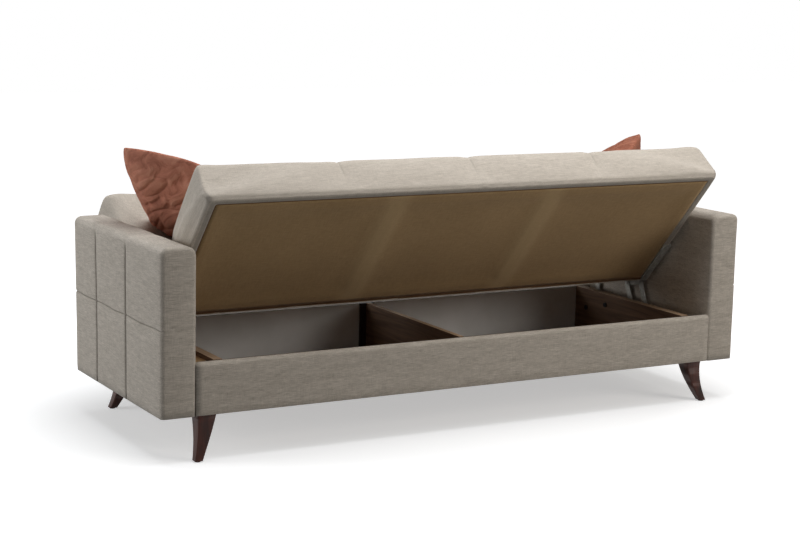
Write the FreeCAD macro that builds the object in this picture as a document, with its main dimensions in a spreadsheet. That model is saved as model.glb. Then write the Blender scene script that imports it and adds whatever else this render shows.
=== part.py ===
import FreeCAD, Part
import math
import os
import re
import Sketcher

Vector = FreeCAD.Vector
Placement = FreeCAD.Placement
Rotation = FreeCAD.Rotation

# Storage sofa bed, shown with its seat and back lifted off the storage box.
# +Z is up, the front faces -Y, and the sitter's left is +X.
# The origin is on the floor, under the middle of the whole object as it stands open.

doc = FreeCAD.newDocument("storage_sofa_bed")
sheet = doc.addObject("Spreadsheet::Sheet", "Sheet")

# Driving dimensions in millimetres and degrees
DIMENSIONS = {
    "overall_length": 2150,
    "back_room": 250,
    "arm_thickness": 112,
    "arm_top": 656,
    "arm_top_radius": 35,
    "arm_edge_radius": 16,
    "arm_padding": 16,
    "arm_timber": 50,
    "arm_seam_front": -175,
    "arm_seam_rear": 83,
    "arm_seam_level": 407,
    "seam_width": 5,
    "seam_depth": 3,
    "leg_height": 143,
    "box_top": 305,
    "rail_thickness": 30,
    "rail_cover": 4,
    "rail_radius": 11,
    "side_gap": 20,
    "box_side_room": 96,
    "board_thickness": 28,
    "front_board_setback": 58,
    "front_board_thickness": 18,
    "lining_board": 4,
    "post_left": 60,
    "post_right": 4,
    "post_thickness": 9,
    "divider_centre": 26,
    "divider_thickness": 18,
    "floor_thickness": 6,
    "bracket_gap": 6,
    "block_height": 87,
    "rail_top_clearance": 15,
    "panel_thickness": 130,
    "hinge_drop": 14,
    "rest_gap": 0.5,
    "seat_depth": 500,
    "seat_hinge_gap": 8,
    "back_length": 578,
    "back_hinge_gap": 2,
    "seat_tilt": 28,
    "back_angle": 48,
    "hinge_rise": 27.5,
    "panel_edge_radius": 24,
    "panel_end_radius": 20,
    "crown": 9,
    "crown_at_seam": 1,
    "channel_depth": 7,
    "channel_half_width": 26,
    "channel_count": 4,
    "timber_inset": 8,
    "timber_thickness": 30,
    "timber_width": 52,
    "strut_width": 45,
    "strut_place": 290,
    "lining_thickness": 2,
    "lining_border": 32,
    "plate_thickness": 3,
    "plate_gap": 0.7,
    "plate_rim": 15,
    "link_half_width": 12,
    "pin_radius": 5,
    "pin_clearance": 0.05,
    "pin_head_radius": 9,
    "pin_head_thickness": 2.4,
    "lift_foot_y": -30,
    "lift_foot_z": -100,
    "guide_step_y": 80,
    "guide_step_z": 20,
    "lift_reach": 159,
    "stay_z": -85,
    "seat_plate_z": -50,
    "bracket_bolt_y": -47,
    "bracket_bolt_z": 265,
    "joggle_y": 89,
    "joggle_z": -85,
    "back_leaf_end": 205,
    "back_leaf_width": 30,
    "back_flange_start": 75,
    "back_flange_width": 44,
    "bolt_radius": 4,
    "bolt_head_radius": 9,
    "bolt_head_thickness": 4,
    "screw_radius": 2.5,
    "screw_length": 38,
    "leg_inset_x": 43,
    "leg_inset_y": 45,
    "leg_top_width": 60,
    "leg_tip_width": 27,
    "leg_splay": 48,
    "leg_bolt_length": 80,
    "glide_thickness": 3,
    "glide_radius": 9,
    "pillow_side": 430,
    "pillow_thickness": 120,
    "pillow_seam": 8,
    "pillow_draw": 16,
    "pillow_left_inset": 166,
    "pillow_left_forward": 1,
    "pillow_left_rise": 271.2,
    "pillow_right_inset": 209,
    "pillow_right_forward": 13,
    "pillow_right_rise": 278.2,
}
for row, (alias, number) in enumerate(DIMENSIONS.items(), start=1):
    sheet.set(f"A{row}", str(number))
    sheet.setAlias(f"A{row}", alias)
doc.recompute()

# Sizes and places that follow from the driving dimensions
DERIVED = {
    "arm_inner": "overall_length / 2 - arm_thickness",
    "arm_depth": "seat_depth + back_room",
    "box_half_width": "arm_inner - box_side_room",
    "panel_side": "arm_inner - side_gap",
    "seat_reach": "seat_depth + seat_hinge_gap",
    "back_reach": "back_length + back_hinge_gap",
    "hinge_forward": "seat_depth * 0.382",
    "stay_y": "0 - seat_depth * 0.39",
    "stay_reach": "seat_depth * 0.39",
    "seat_plate_y": "0 - seat_depth * 0.8",
    "panel_drop": "panel_thickness - hinge_drop",
    "hinge_from_centre": "seat_reach - arm_depth / 2 - hinge_forward",
    "front_most": "hinge_from_centre - seat_reach * cos(seat_tilt) - panel_drop * sin(seat_tilt)",
    "rear_most": "hinge_from_centre + back_reach * cos(back_angle) + panel_drop * sin(back_angle)",
    "arm_centre": "0 - (front_most + rear_most) / 2",
    "arm_front": "arm_centre - arm_depth / 2",
    "arm_rear": "arm_centre + arm_depth / 2",
    "rail_front": "arm_front + rail_thickness",
    "rail_rear": "arm_rear - rail_thickness",
    "board_outer": "box_half_width + board_thickness",
    "mechanism_face": "panel_side - plate_thickness",
    "front_board": "arm_front + front_board_setback",
    "front_wall": "front_board + front_board_thickness",
    "floor_top": "leg_height + floor_thickness",
    "closed_y": "arm_front + seat_reach",
    "closed_z": "box_top + rest_gap + panel_drop",
    "hinge_y": "closed_y - hinge_forward",
    "hinge_z": "closed_z + hinge_rise",
    "travel": "sqrt(hinge_forward ^ 2 + hinge_rise ^ 2)",
    "lift_y": "hinge_y + lift_foot_y + hinge_forward / 2 - lift_reach * hinge_rise / travel",
    "lift_z": "hinge_z + lift_foot_z - hinge_rise / 2 - lift_reach * hinge_forward / travel",
    "lift_length": "sqrt((travel / 2) ^ 2 + lift_reach ^ 2)",
    "lift_half_swing": "atan(travel / 2 / lift_reach) / 1 deg",
    "lift_angle": "90 - atan(hinge_rise / hinge_forward) / 1 deg + lift_half_swing",
    "stay_open_y": "hinge_y + stay_y * cos(seat_tilt) + stay_z * sin(seat_tilt)",
    "stay_open_z": "hinge_z - stay_y * sin(seat_tilt) + stay_z * cos(seat_tilt)",
    "stay_run_y": "closed_y + stay_y - stay_open_y",
    "stay_run_z": "closed_z + stay_z - stay_open_z",
    "stay_run": "sqrt(stay_run_y ^ 2 + stay_run_z ^ 2)",
    "stay_foot_y": "stay_open_y + stay_run_y / 2 + stay_reach * stay_run_z / stay_run",
    "stay_foot_z": "stay_open_z + stay_run_z / 2 - stay_reach * stay_run_y / stay_run",
    "stay_length": "sqrt((stay_run / 2) ^ 2 + stay_reach ^ 2)",
    "stay_angle": "90 + atan(stay_run_z / stay_run_y) / 1 deg + atan(stay_run / 2 / stay_reach) / 1 deg",
    "block_depth": "stay_foot_y - plate_rim - bracket_gap - rail_front",
    "layer_step": "plate_thickness + plate_gap",
    "link_layer": "panel_side + layer_step",
    "carrier_layer": "panel_side + 2 * layer_step",
    "back_layer": "panel_side + 3 * layer_step",
    "hole_radius": "pin_radius + pin_clearance",
    "lining_low": "0 - panel_drop",
    "timber_low": "lining_thickness - panel_drop",
    "timber_high": "timber_low + timber_thickness",
    "timber_side": "panel_side - timber_inset",
    "leg_x": "arm_inner - leg_inset_x",
}
WORD = re.compile(r"[a-z][a-z_]+")


def formula(text):
    """The expression for a cell, an object's size or a place, in the sheet's aliases."""
    def expand(match):
        word = match.group()
        if word in DERIVED:
            return "(" + formula(DERIVED[word]) + ")"
        if word in DIMENSIONS:
            return "Sheet." + word
        return word
    return WORD.sub(expand, str(text))


def value(text):
    """The number that a formula gives now."""
    return float(sheet.evalExpression(formula(text)))


# Every sub-part by its node name
nodes = {}


def keep(thing, label):
    thing.Label = label
    nodes[label] = thing
    return thing


def place(thing, x, y, z, angle="0"):
    """Put an object at a place, turned about +X."""
    thing.Placement = Placement(Vector(0, 0, 0), Rotation(Vector(1, 0, 0), 1))
    thing.setExpression("Placement.Base.x", formula(x))
    thing.setExpression("Placement.Base.y", formula(y))
    thing.setExpression("Placement.Base.z", formula(z))
    thing.setExpression("Placement.Rotation.Angle", formula(angle))


# The seat and the back are each drawn flat, from their hinge, and then turned about it
PANEL_ANGLES = {"seat": "0 - seat_tilt", "back": "back_angle"}


def place_on_panel(thing, panel, x, y, z):
    """Put an object at a place that is measured from the hinge in a flat panel."""
    if panel is None:
        place(thing, x, y, z)
        return
    angle = PANEL_ANGLES[panel]
    turned_y = f"hinge_y + ({y}) * cos({angle}) - ({z}) * sin({angle})"
    turned_z = f"hinge_z + ({y}) * sin({angle}) + ({z}) * cos({angle})"
    place(thing, x, turned_y, turned_z, angle)


def board(name, x0, x1, y0, y1, z0, z1, panel=None):
    """A rectangular board between six faces."""
    box = doc.addObject("Part::Box", name)
    box.setExpression("Length", formula(f"({x1}) - ({x0})"))
    box.setExpression("Width", formula(f"({y1}) - ({y0})"))
    box.setExpression("Height", formula(f"({z1}) - ({z0})"))
    place_on_panel(box, panel, x0, y0, z0)
    return box


def rod(name, side, x0, x1, y, z, radius, panel=None):
    """A round bar along X, from x0 to x1 on the left or mirrored to the right."""
    cylinder = doc.addObject("Part::Cylinder", name)
    cylinder.setExpression("Radius", formula(radius))
    cylinder.setExpression("Height", formula(f"({x1}) - ({x0})"))
    start = x0 if side > 0 else f"0 - ({x1})"
    if panel is None:
        turned_y, turned_z = y, z
    else:
        angle = PANEL_ANGLES[panel]
        turned_y = f"hinge_y + ({y}) * cos({angle}) - ({z}) * sin({angle})"
        turned_z = f"hinge_z + ({y}) * sin({angle}) + ({z}) * cos({angle})"
    cylinder.Placement = Placement(Vector(0, 0, 0), Rotation(Vector(0, 1, 0), 90))
    cylinder.setExpression("Placement.Base.x", formula(start))
    cylinder.setExpression("Placement.Base.y", formula(turned_y))
    cylinder.setExpression("Placement.Base.z", formula(turned_z))
    return cylinder


def upright(name, x, y, z0, z1, radius):
    """A round bar along Z."""
    cylinder = doc.addObject("Part::Cylinder", name)
    cylinder.setExpression("Radius", formula(radius))
    cylinder.setExpression("Height", formula(f"({z1}) - ({z0})"))
    place(cylinder, x, y, z0)
    return cylinder


def fuse(name, pieces):
    joined = doc.addObject("Part::MultiFuse", name)
    joined.Shapes = pieces
    return joined


def group(name, pieces):
    """Several loose solids that share one node."""
    together = doc.addObject("Part::Compound", name)
    together.Links = pieces
    return together


def cut(name, base, tools):
    tool = tools[0] if len(tools) == 1 else group(name + "_tools", tools)
    result = doc.addObject("Part::Cut", name)
    result.Base = base
    result.Tool = tool
    return result


def origin_plane(body, role):
    return [f for f in body.Origin.OriginFeatures if f.Role == role][0]


def sketch_on(body, role, name):
    sketch = body.newObject("Sketcher::SketchObject", name)
    sketch.AttachmentSupport = [(origin_plane(body, role), "")]
    sketch.MapMode = "FlatFace"
    return sketch


def bind(sketch, constraint, name, text):
    """Add a driving constraint and tie it to the sheet."""
    index = sketch.addConstraint(constraint)
    sketch.renameConstraint(index, name)
    sketch.setExpression(f"Constraints.{name}", formula(text))


def rounded_top_profile(sketch, width, height, radius):
    """A rectangle on its base line, centred, with its two upper corners rounded."""
    w, h, r = value(width) / 2, value(height), value(radius)
    flat = Vector(0, 0, 1)
    base = sketch.addGeometry(Part.LineSegment(Vector(-w, 0, 0), Vector(w, 0, 0)))
    right = sketch.addGeometry(Part.LineSegment(Vector(w, 0, 0), Vector(w, h - r, 0)))
    right_arc = sketch.addGeometry(
        Part.ArcOfCircle(Part.Circle(Vector(w - r, h - r, 0), flat, r), 0, math.pi / 2))
    top = sketch.addGeometry(Part.LineSegment(Vector(w - r, h, 0), Vector(r - w, h, 0)))
    left_arc = sketch.addGeometry(
        Part.ArcOfCircle(Part.Circle(Vector(r - w, h - r, 0), flat, r), math.pi / 2, math.pi))
    left = sketch.addGeometry(Part.LineSegment(Vector(-w, h - r, 0), Vector(-w, 0, 0)))
    add = sketch.addConstraint
    add(Sketcher.Constraint("Coincident", base, 2, right, 1))
    add(Sketcher.Constraint("Coincident", left, 2, base, 1))
    add(Sketcher.Constraint("Tangent", right, 2, right_arc, 1))
    add(Sketcher.Constraint("Tangent", right_arc, 2, top, 1))
    add(Sketcher.Constraint("Tangent", top, 2, left_arc, 1))
    add(Sketcher.Constraint("Tangent", left_arc, 2, left, 1))
    add(Sketcher.Constraint("Horizontal", base))
    add(Sketcher.Constraint("Vertical", right))
    add(Sketcher.Constraint("Equal", right_arc, left_arc))
    add(Sketcher.Constraint("Symmetric", base, 1, base, 2, -1, 1))
    bind(sketch, Sketcher.Constraint("DistanceX", base, 1, base, 2, 2 * w), "Width", width)
    bind(sketch, Sketcher.Constraint("DistanceY", base, 2, top, 1, h), "Height", height)
    bind(sketch, Sketcher.Constraint("Radius", right_arc, r), "Corner", radius)


def rounded_bar(name, role, width, height, radius, length):
    """A padded profile with a rounded top, its length centred on the sketch plane."""
    body = doc.addObject("PartDesign::Body", name)
    profile = sketch_on(body, role, name + "_profile")
    rounded_top_profile(profile, width, height, radius)
    pad = body.newObject("PartDesign::Pad", name + "_pad")
    pad.Profile = profile
    pad.Midplane = True
    pad.setExpression("Length", formula(length))
    doc.recompute()
    return body, pad


def link_bar(name, length, rim, far_radius):
    """A flat bar with round ends and an eye at each end, from the first eye along +Y."""
    body = doc.addObject("PartDesign::Body", name)
    sketch = sketch_on(body, "YZ_Plane", name + "_profile")
    far, r = value(length), value(rim)
    flat = Vector(0, 0, 1)
    near_arc = sketch.addGeometry(
        Part.ArcOfCircle(Part.Circle(Vector(0, 0, 0), flat, r), math.pi / 2, 3 * math.pi / 2))
    low = sketch.addGeometry(Part.LineSegment(Vector(0, -r, 0), Vector(far, -r, 0)))
    far_arc = sketch.addGeometry(
        Part.ArcOfCircle(Part.Circle(Vector(far, 0, 0), flat, r), -math.pi / 2, math.pi / 2))
    high = sketch.addGeometry(Part.LineSegment(Vector(far, r, 0), Vector(0, r, 0)))
    near_eye = sketch.addGeometry(Part.Circle(Vector(0, 0, 0), flat, value("hole_radius")))
    far_eye = sketch.addGeometry(Part.Circle(Vector(far, 0, 0), flat, value(far_radius)))
    add = sketch.addConstraint
    add(Sketcher.Constraint("Tangent", near_arc, 2, low, 1))
    add(Sketcher.Constraint("Tangent", low, 2, far_arc, 1))
    add(Sketcher.Constraint("Tangent", far_arc, 2, high, 1))
    add(Sketcher.Constraint("Tangent", high, 2, near_arc, 1))
    add(Sketcher.Constraint("Coincident", near_arc, 3, -1, 1))
    add(Sketcher.Constraint("PointOnObject", far_arc, 3, -1))
    add(Sketcher.Constraint("Coincident", near_eye, 3, near_arc, 3))
    add(Sketcher.Constraint("Coincident", far_eye, 3, far_arc, 3))
    bind(sketch, Sketcher.Constraint("DistanceX", near_arc, 3, far_arc, 3, far), "Centres", length)
    bind(sketch, Sketcher.Constraint("Radius", near_arc, r), "Rim", rim)
    bind(sketch, Sketcher.Constraint("Radius", near_eye, value("hole_radius")), "Eye", "hole_radius")
    bind(sketch, Sketcher.Constraint("Radius", far_eye, value(far_radius)), "FarEye", far_radius)
    pad = body.newObject("PartDesign::Pad", name + "_pad")
    pad.Profile = sketch
    pad.setExpression("Length", formula("plate_thickness"))
    doc.recompute()
    return body


def plate(name, corners, rim, holes):
    """A flat plate round its corner points, with a hole at each named place."""
    thickness = value("plate_thickness")
    points = [Vector(0, value(y), value(z)) for y, z in corners]
    outline = Part.Face(Part.makePolygon(points + points[:1]))
    solid = outline.makeOffset2D(value(rim)).extrude(Vector(thickness, 0, 0))
    for y, z, radius in holes:
        start = Vector(0, value(y), value(z))
        solid = solid.cut(Part.makeCylinder(value(radius), thickness, start, Vector(1, 0, 0)))
    feature = doc.addObject("Part::Feature", name)
    feature.Shape = solid
    return feature


def on_side(side, x, width):
    """The lowest X of something that starts at x on the left, or is mirrored to the right."""
    return x if side > 0 else f"0 - ({x}) - ({width})"


SIDES = (("left", 1), ("right", -1))
ENDS = (("front", -1), ("rear", 1))


# Legs: turned-out sabre legs of stained hardwood, each held by one hanger bolt
def rounded_square(centre, half, height):
    """A square with rounded corners that stands on a corner, as seen from above."""
    corner = half / 4
    turn = Rotation(Vector(0, 0, 1), 45)
    points = []
    for quarter in range(4):
        spin = Rotation(Vector(0, 0, 1), 90 * quarter)
        for x, y in ((half, corner - half), (half, half - corner)):
            points.append(spin.multVec(Vector(x, y, 0)))
        middle = half - corner + corner / math.sqrt(2)
        points.append(spin.multVec(Vector(middle, middle, 0)))
    points = [turn.multVec(point) + Vector(centre.x, centre.y, height) for point in points]
    edges = []
    for quarter in range(4):
        start, end, bend = points[3 * quarter:3 * quarter + 3]
        following = points[(3 * quarter + 3) % 12]
        edges.append(Part.LineSegment(start, end).toShape())
        edges.append(Part.Arc(end, bend, following).toShape())
    return Part.Wire(edges)


LEG_SECTIONS = 6
leg_bolts = []
glides = []
block_cutters = {}
for side_name, side in SIDES:
    for end_name, end in ENDS:
        place_name = f"{end_name}_{side_name}"
        leg_y = f"arm_centre + {end} * (arm_depth / 2 - leg_inset_y)"
        low = value("glide_thickness")
        high = value("leg_height")
        top_half = value("leg_top_width") / 2
        tip_half = value("leg_tip_width") / 2
        sections = []
        for step in range(LEG_SECTIONS):
            share = step / (LEG_SECTIONS - 1)
            out = value("leg_splay") * (1 - share) ** 1.7 / math.sqrt(2)
            half = tip_half + (top_half - tip_half) * share ** 1.25
            centre = Vector(side * out, end * out, 0)
            sections.append(rounded_square(centre, half, low + (high - low) * share))
        bolt = upright(f"leg_bolt_{place_name}", f"{side} * leg_x", leg_y,
                       "leg_height - leg_bolt_length / 2", "leg_height + leg_bolt_length / 2",
                       "bolt_radius")
        blank = doc.addObject("Part::Feature", f"leg_blank_{place_name}")
        blank.Shape = Part.makeLoft(sections, True, False)
        place(blank, f"{side} * leg_x", leg_y, "0")
        keep(cut(f"leg_{place_name}_cut", blank, [bolt]), f"leg_{place_name}")
        glide = upright(f"glide_{place_name}", f"{side} * (leg_x + leg_splay * sqrt(0.5))",
                        f"{leg_y} + {end} * leg_splay * sqrt(0.5)", "0", "glide_thickness",
                        "glide_radius")
        glides.append(glide)
        leg_bolts.append(bolt)
        block_cutters[place_name] = bolt
keep(group("leg_bolt_set", leg_bolts), "leg_bolts")
keep(group("glide_set", glides), "foot_glides")

# Corner blocks: glued hardwood blocks between the box and the arms, with the arm bolts
arm_bolts = {"left": [], "right": []}
for side_name, side in SIDES:
    for end_name, end in ENDS:
        place_name = f"{end_name}_{side_name}"
        near = "rail_front" if end < 0 else "rail_rear - block_depth"
        far = "rail_front + block_depth" if end < 0 else "rail_rear"
        bolt_y = f"({near} + {far}) / 2"
        bolt_z = "leg_height + block_height - 2 * bolt_head_radius"
        head = rod(f"arm_bolt_head_{place_name}", side, "board_outer",
                   "board_outer + bolt_head_thickness", bolt_y, bolt_z, "bolt_head_radius")
        shank = rod(f"arm_bolt_shank_{place_name}", side, "board_outer",
                    "arm_inner + arm_padding + arm_timber", bolt_y, bolt_z, "bolt_radius")
        bolt = fuse(f"arm_bolt_{place_name}", [head, shank])
        arm_bolts[side_name].append(bolt)
        width = "arm_inner - board_outer"
        x0 = on_side(side, "board_outer", width)
        raw = board(f"block_{place_name}", x0, f"{x0} + {width}", near, far,
                    "leg_height", "leg_height + block_height")
        block = cut(f"block_{place_name}_cut", raw, [block_cutters[place_name], bolt])
        keep(block, f"corner_block_{place_name}")
keep(group("arm_bolt_set", arm_bolts["left"] + arm_bolts["right"]), "arm_bolts")

# Arms: a timber ladder frame inside a padded fabric cover with a sewn grid outside
for side_name, side in SIDES:
    centre_x = f"{side} * (arm_inner + arm_thickness / 2)"
    x0 = on_side(side, "arm_inner + arm_padding", "arm_thickness - 2 * arm_padding")
    x1 = f"{x0} + arm_thickness - 2 * arm_padding"
    front = "arm_front + arm_padding"
    rear = "arm_rear - arm_padding"
    top = "arm_top - arm_padding"
    blank = board(f"arm_frame_{side_name}_blank", x0, x1, front, rear, "leg_height", top)
    bay_depth = "(arm_depth - 2 * arm_padding - 4 * arm_timber) / 3"
    bay_height = "(arm_top - arm_padding - leg_height - 3 * arm_timber) / 2"
    bays = []
    for column in range(3):
        for level in range(2):
            y0 = f"{front} + arm_timber + {column} * ({bay_depth} + arm_timber)"
            z0 = f"leg_height + arm_timber + {level} * ({bay_height} + arm_timber)"
            bays.append(board(f"arm_bay_{side_name}_{column}{level}", x0, x1,
                              y0, f"{y0} + {bay_depth}", z0, f"{z0} + {bay_height}"))
    bolts = arm_bolts[side_name]
    keep(cut(f"arm_frame_{side_name}_cut", blank, bays + bolts), f"arm_frame_{side_name}")
    padded, pad = rounded_bar(f"arm_pad_{side_name}", "XZ_Plane", "arm_thickness",
                              "arm_top - leg_height", "arm_top_radius", "arm_depth")
    ends = []
    for index, edge in enumerate(pad.Shape.Edges, start=1):
        box = edge.BoundBox
        level_end = box.YLength < 0.01
        if level_end and box.ZMax > value("arm_seam_level - leg_height"):
            ends.append(f"Edge{index}")
    fillet = padded.newObject("PartDesign::Fillet", f"arm_fillet_{side_name}")
    fillet.Base = (pad, ends)
    fillet.setExpression("Radius", formula("arm_edge_radius"))
    padded.Tip = fillet
    place(padded, centre_x, "arm_centre", "leg_height")
    face_x = on_side(side, "overall_length / 2 - seam_depth", "seam_depth")
    face_end = f"{face_x} + seam_depth"
    seams = []
    for seam_name in ("arm_seam_front", "arm_seam_rear"):
        y0 = f"arm_centre + {seam_name} - seam_width / 2"
        seams.append(board(f"{seam_name}_{side_name}", face_x, face_end, y0,
                           f"{y0} + seam_width", "leg_height", "arm_top - arm_top_radius"))
    seams.append(board(f"arm_seam_level_{side_name}", face_x, face_end, "arm_front", "arm_rear",
                       "arm_seam_level - seam_width / 2", "arm_seam_level + seam_width / 2"))
    hollow = board(f"arm_core_{side_name}", x0, x1, front, rear, "leg_height", top)
    keep(cut(f"arm_cover_{side_name}_cut", padded, seams + [hollow] + bolts),
         f"arm_cover_{side_name}")

# Front and rear rails: boards between the arms, wrapped in padded fabric
for end_name, end in ENDS:
    y0 = "arm_front" if end < 0 else "rail_rear"
    rail_end = "box_top - rail_cover"
    core = board(f"{end_name}_rail_core", "0 - arm_inner", "arm_inner", f"{y0} + rail_cover",
                 f"{y0} + rail_thickness - rail_cover", "leg_height", rail_end)
    keep(core, f"{end_name}_rail")
    wrap, pad = rounded_bar(f"{end_name}_rail_wrap", "YZ_Plane", "rail_thickness",
                            "box_top - leg_height", "rail_radius", "2 * arm_inner")
    place(wrap, "0", f"{y0} + rail_thickness / 2", "leg_height")
    keep(cut(f"{end_name}_rail_cover_cut", wrap, [core]), f"{end_name}_rail_cover")

# Fittings' bolts: they hold each bracket to its batten and to the side board
BOLT_PLACES = (
    ("hinge_y + bracket_bolt_y", "bracket_bolt_z"),
    ("stay_foot_y + 3 * plate_rim", "stay_foot_z"),
    ("lift_y + guide_step_y / 2", "lift_z + guide_step_z + plate_rim / 2"),
)
bracket_bolts = {"left": [], "right": []}
for side_name, side in SIDES:
    for number, (bolt_y, bolt_z) in enumerate(BOLT_PLACES, start=1):
        head = rod(f"bracket_head_{side_name}_{number}", side,
                   "box_half_width - bolt_head_thickness", "box_half_width", bolt_y, bolt_z,
                   "bolt_head_radius")
        shank = rod(f"bracket_shank_{side_name}_{number}", side, "box_half_width", "panel_side",
                    bolt_y, bolt_z, "bolt_radius")
        bolt = fuse(f"bracket_bolt_{side_name}_{number}", [head, shank])
        bracket_bolts[side_name].append(bolt)
keep(group("bracket_bolt_set", bracket_bolts["left"] + bracket_bolts["right"]), "bracket_bolts")

# Storage box: side boards, front board, pale front panels, post, divider and floor
for side_name, side in SIDES:
    bolts = bracket_bolts[side_name]
    x0 = on_side(side, "box_half_width", "board_thickness")
    raw = board(f"side_board_{side_name}_raw", x0, f"{x0} + board_thickness", "rail_front",
                "rail_rear", "floor_top", "box_top")
    keep(cut(f"side_board_{side_name}_cut", raw, bolts), f"side_board_{side_name}")
    width = "mechanism_face - board_outer"
    x0 = on_side(side, "board_outer", width)
    raw = board(f"batten_{side_name}_raw", x0, f"{x0} + {width}", "rail_front + block_depth",
                "rail_rear - block_depth", "leg_height", "box_top - rail_top_clearance")
    keep(cut(f"batten_{side_name}_cut", raw, bolts), f"mechanism_batten_{side_name}")
keep(board("front_board", "0 - box_half_width", "box_half_width", "front_board", "front_wall",
           "floor_top", "box_top"), "box_front_board")
keep(board("front_panel_left", "post_left", "box_half_width", "front_wall",
           "front_wall + lining_board", "floor_top", "box_top"), "front_panel_left")
keep(board("front_panel_right", "0 - box_half_width", "post_right", "front_wall",
           "front_wall + lining_board", "floor_top", "box_top"), "front_panel_right")
keep(board("post", "post_right", "post_left", "front_wall", "front_wall + post_thickness",
           "floor_top", "box_top"), "centre_post")
keep(board("divider", "divider_centre - divider_thickness / 2",
           "divider_centre + divider_thickness / 2", "front_wall + post_thickness", "rail_rear",
           "floor_top", "box_top"), "centre_divider")
keep(board("floor_left", "divider_centre", "board_outer", "rail_front", "rail_rear",
           "leg_height", "floor_top"), "floor_panel_left")
keep(board("floor_right", "0 - board_outer", "divider_centre", "rail_front", "rail_rear",
           "leg_height", "floor_top"), "floor_panel_right")

# Fixed brackets and the pins that the links turn on
base_pins = []
for side_name, side in SIDES:
    foot = ("lift_y", "lift_z")
    guide = ("lift_y + guide_step_y", "lift_z + guide_step_z")
    stay = ("stay_foot_y", "stay_foot_z")
    bolts = [(y, z, "bolt_radius") for y, z in BOLT_PLACES]
    corner = bolts[0][:2]
    pivots = [(y, z, "pin_radius") for y, z in (foot, guide, stay)]
    bracket = plate(f"bracket_{side_name}", (stay, foot, guide, corner), "plate_rim",
                    pivots + bolts)
    place(bracket, on_side(side, "mechanism_face", "plate_thickness"), "0", "0")
    keep(bracket, f"base_bracket_{side_name}")
    for name, (y, z) in (("lift", foot), ("guide", guide), ("stay", stay)):
        title = f"{name}_pin_{side_name}"
        shank = rod(title + "_shank", side, "mechanism_face",
                    "link_layer + plate_thickness + plate_gap / 4", y, z, "pin_radius")
        collar = rod(title + "_collar", side, "panel_side", "link_layer - plate_gap / 4", y, z,
                     "pin_head_radius")
        head = rod(title + "_head", side, "link_layer + plate_thickness + plate_gap / 4",
                   "link_layer + plate_thickness + plate_gap / 4 + pin_head_thickness", y, z,
                   "pin_head_radius")
        base_pins.append(fuse(title, [shank, collar, head]))
keep(group("base_pin_set", base_pins), "base_pivot_pins")

# Links: flat steel bars in one layer, beside the panels' ends
stay_studs = []
for side_name, side in SIDES:
    x = on_side(side, "link_layer", "plate_thickness")
    lift = link_bar(f"lift_{side_name}", "lift_length", "link_half_width", "hole_radius")
    place(lift, x, "lift_y", "lift_z", "lift_angle")
    keep(lift, f"lift_link_{side_name}")
    guide = link_bar(f"guide_{side_name}", "lift_length", "link_half_width", "hole_radius")
    place(guide, x, "lift_y + guide_step_y", "lift_z + guide_step_z", "lift_angle")
    keep(guide, f"guide_link_{side_name}")
    stay = link_bar(f"stay_{side_name}", "stay_length", "link_half_width", "pin_radius")
    place(stay, x, "stay_foot_y", "stay_foot_z", "stay_angle")
    keep(stay, f"stay_link_{side_name}")
    shank = rod(f"stay_stud_{side_name}_shank", side, "link_layer", "link_layer + plate_thickness",
                "stay_open_y", "stay_open_z", "pin_radius")
    head = rod(f"stay_stud_{side_name}_head", side, "link_layer + plate_thickness",
               "link_layer + plate_thickness + pin_head_thickness", "stay_open_y", "stay_open_z",
               "pin_head_radius")
    stay_studs.append(fuse(f"stay_stud_{side_name}", [shank, head]))
keep(group("stay_stud_set", stay_studs), "stay_studs")

# Carriers: three-cornered plates that hold the hinge pin and ride on the two links
carrier_pins = []
for side_name, side in SIDES:
    hinge = ("0", "0")
    front_eye = ("lift_foot_y", "lift_foot_z")
    rear_eye = ("lift_foot_y + guide_step_y", "lift_foot_z + guide_step_z")
    corners = (hinge, front_eye, rear_eye)
    carrier = plate(f"carrier_plate_{side_name}", corners, "plate_rim",
                    [(y, z, "pin_radius") for y, z in corners])
    place(carrier, on_side(side, "carrier_layer", "plate_thickness"), "hinge_y", "hinge_z")
    keep(carrier, f"carrier_{side_name}")
    for name, (y, z) in (("front", front_eye), ("rear", rear_eye)):
        title = f"carrier_{name}_pin_{side_name}"
        shank = rod(title + "_shank", side, "link_layer - plate_gap / 4",
                    "carrier_layer + plate_thickness", f"hinge_y + {y}", f"hinge_z + {z}",
                    "pin_radius")
        head = rod(title + "_head", side, "link_layer - plate_gap / 4 - pin_head_thickness",
                   "link_layer - plate_gap / 4", f"hinge_y + {y}", f"hinge_z + {z}",
                   "pin_head_radius")
        carrier_pins.append(fuse(title, [shank, head]))
    title = f"hinge_pin_{side_name}"
    shank = rod(title + "_shank", side, "panel_side", "back_layer + plate_thickness + plate_gap / 4",
                "hinge_y", "hinge_z", "pin_radius")
    collar = rod(title + "_collar", side, "link_layer - plate_gap / 4", "carrier_layer", "hinge_y",
                 "hinge_z", "pin_head_radius")
    head = rod(title + "_head", side, "back_layer + plate_thickness + plate_gap / 4",
               "back_layer + plate_thickness + plate_gap / 4 + pin_head_thickness", "hinge_y",
               "hinge_z", "pin_head_radius")
    carrier_pins.append(fuse(title, [shank, collar, head]))
keep(group("carrier_pin_set", carrier_pins), "carrier_pins")


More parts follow.
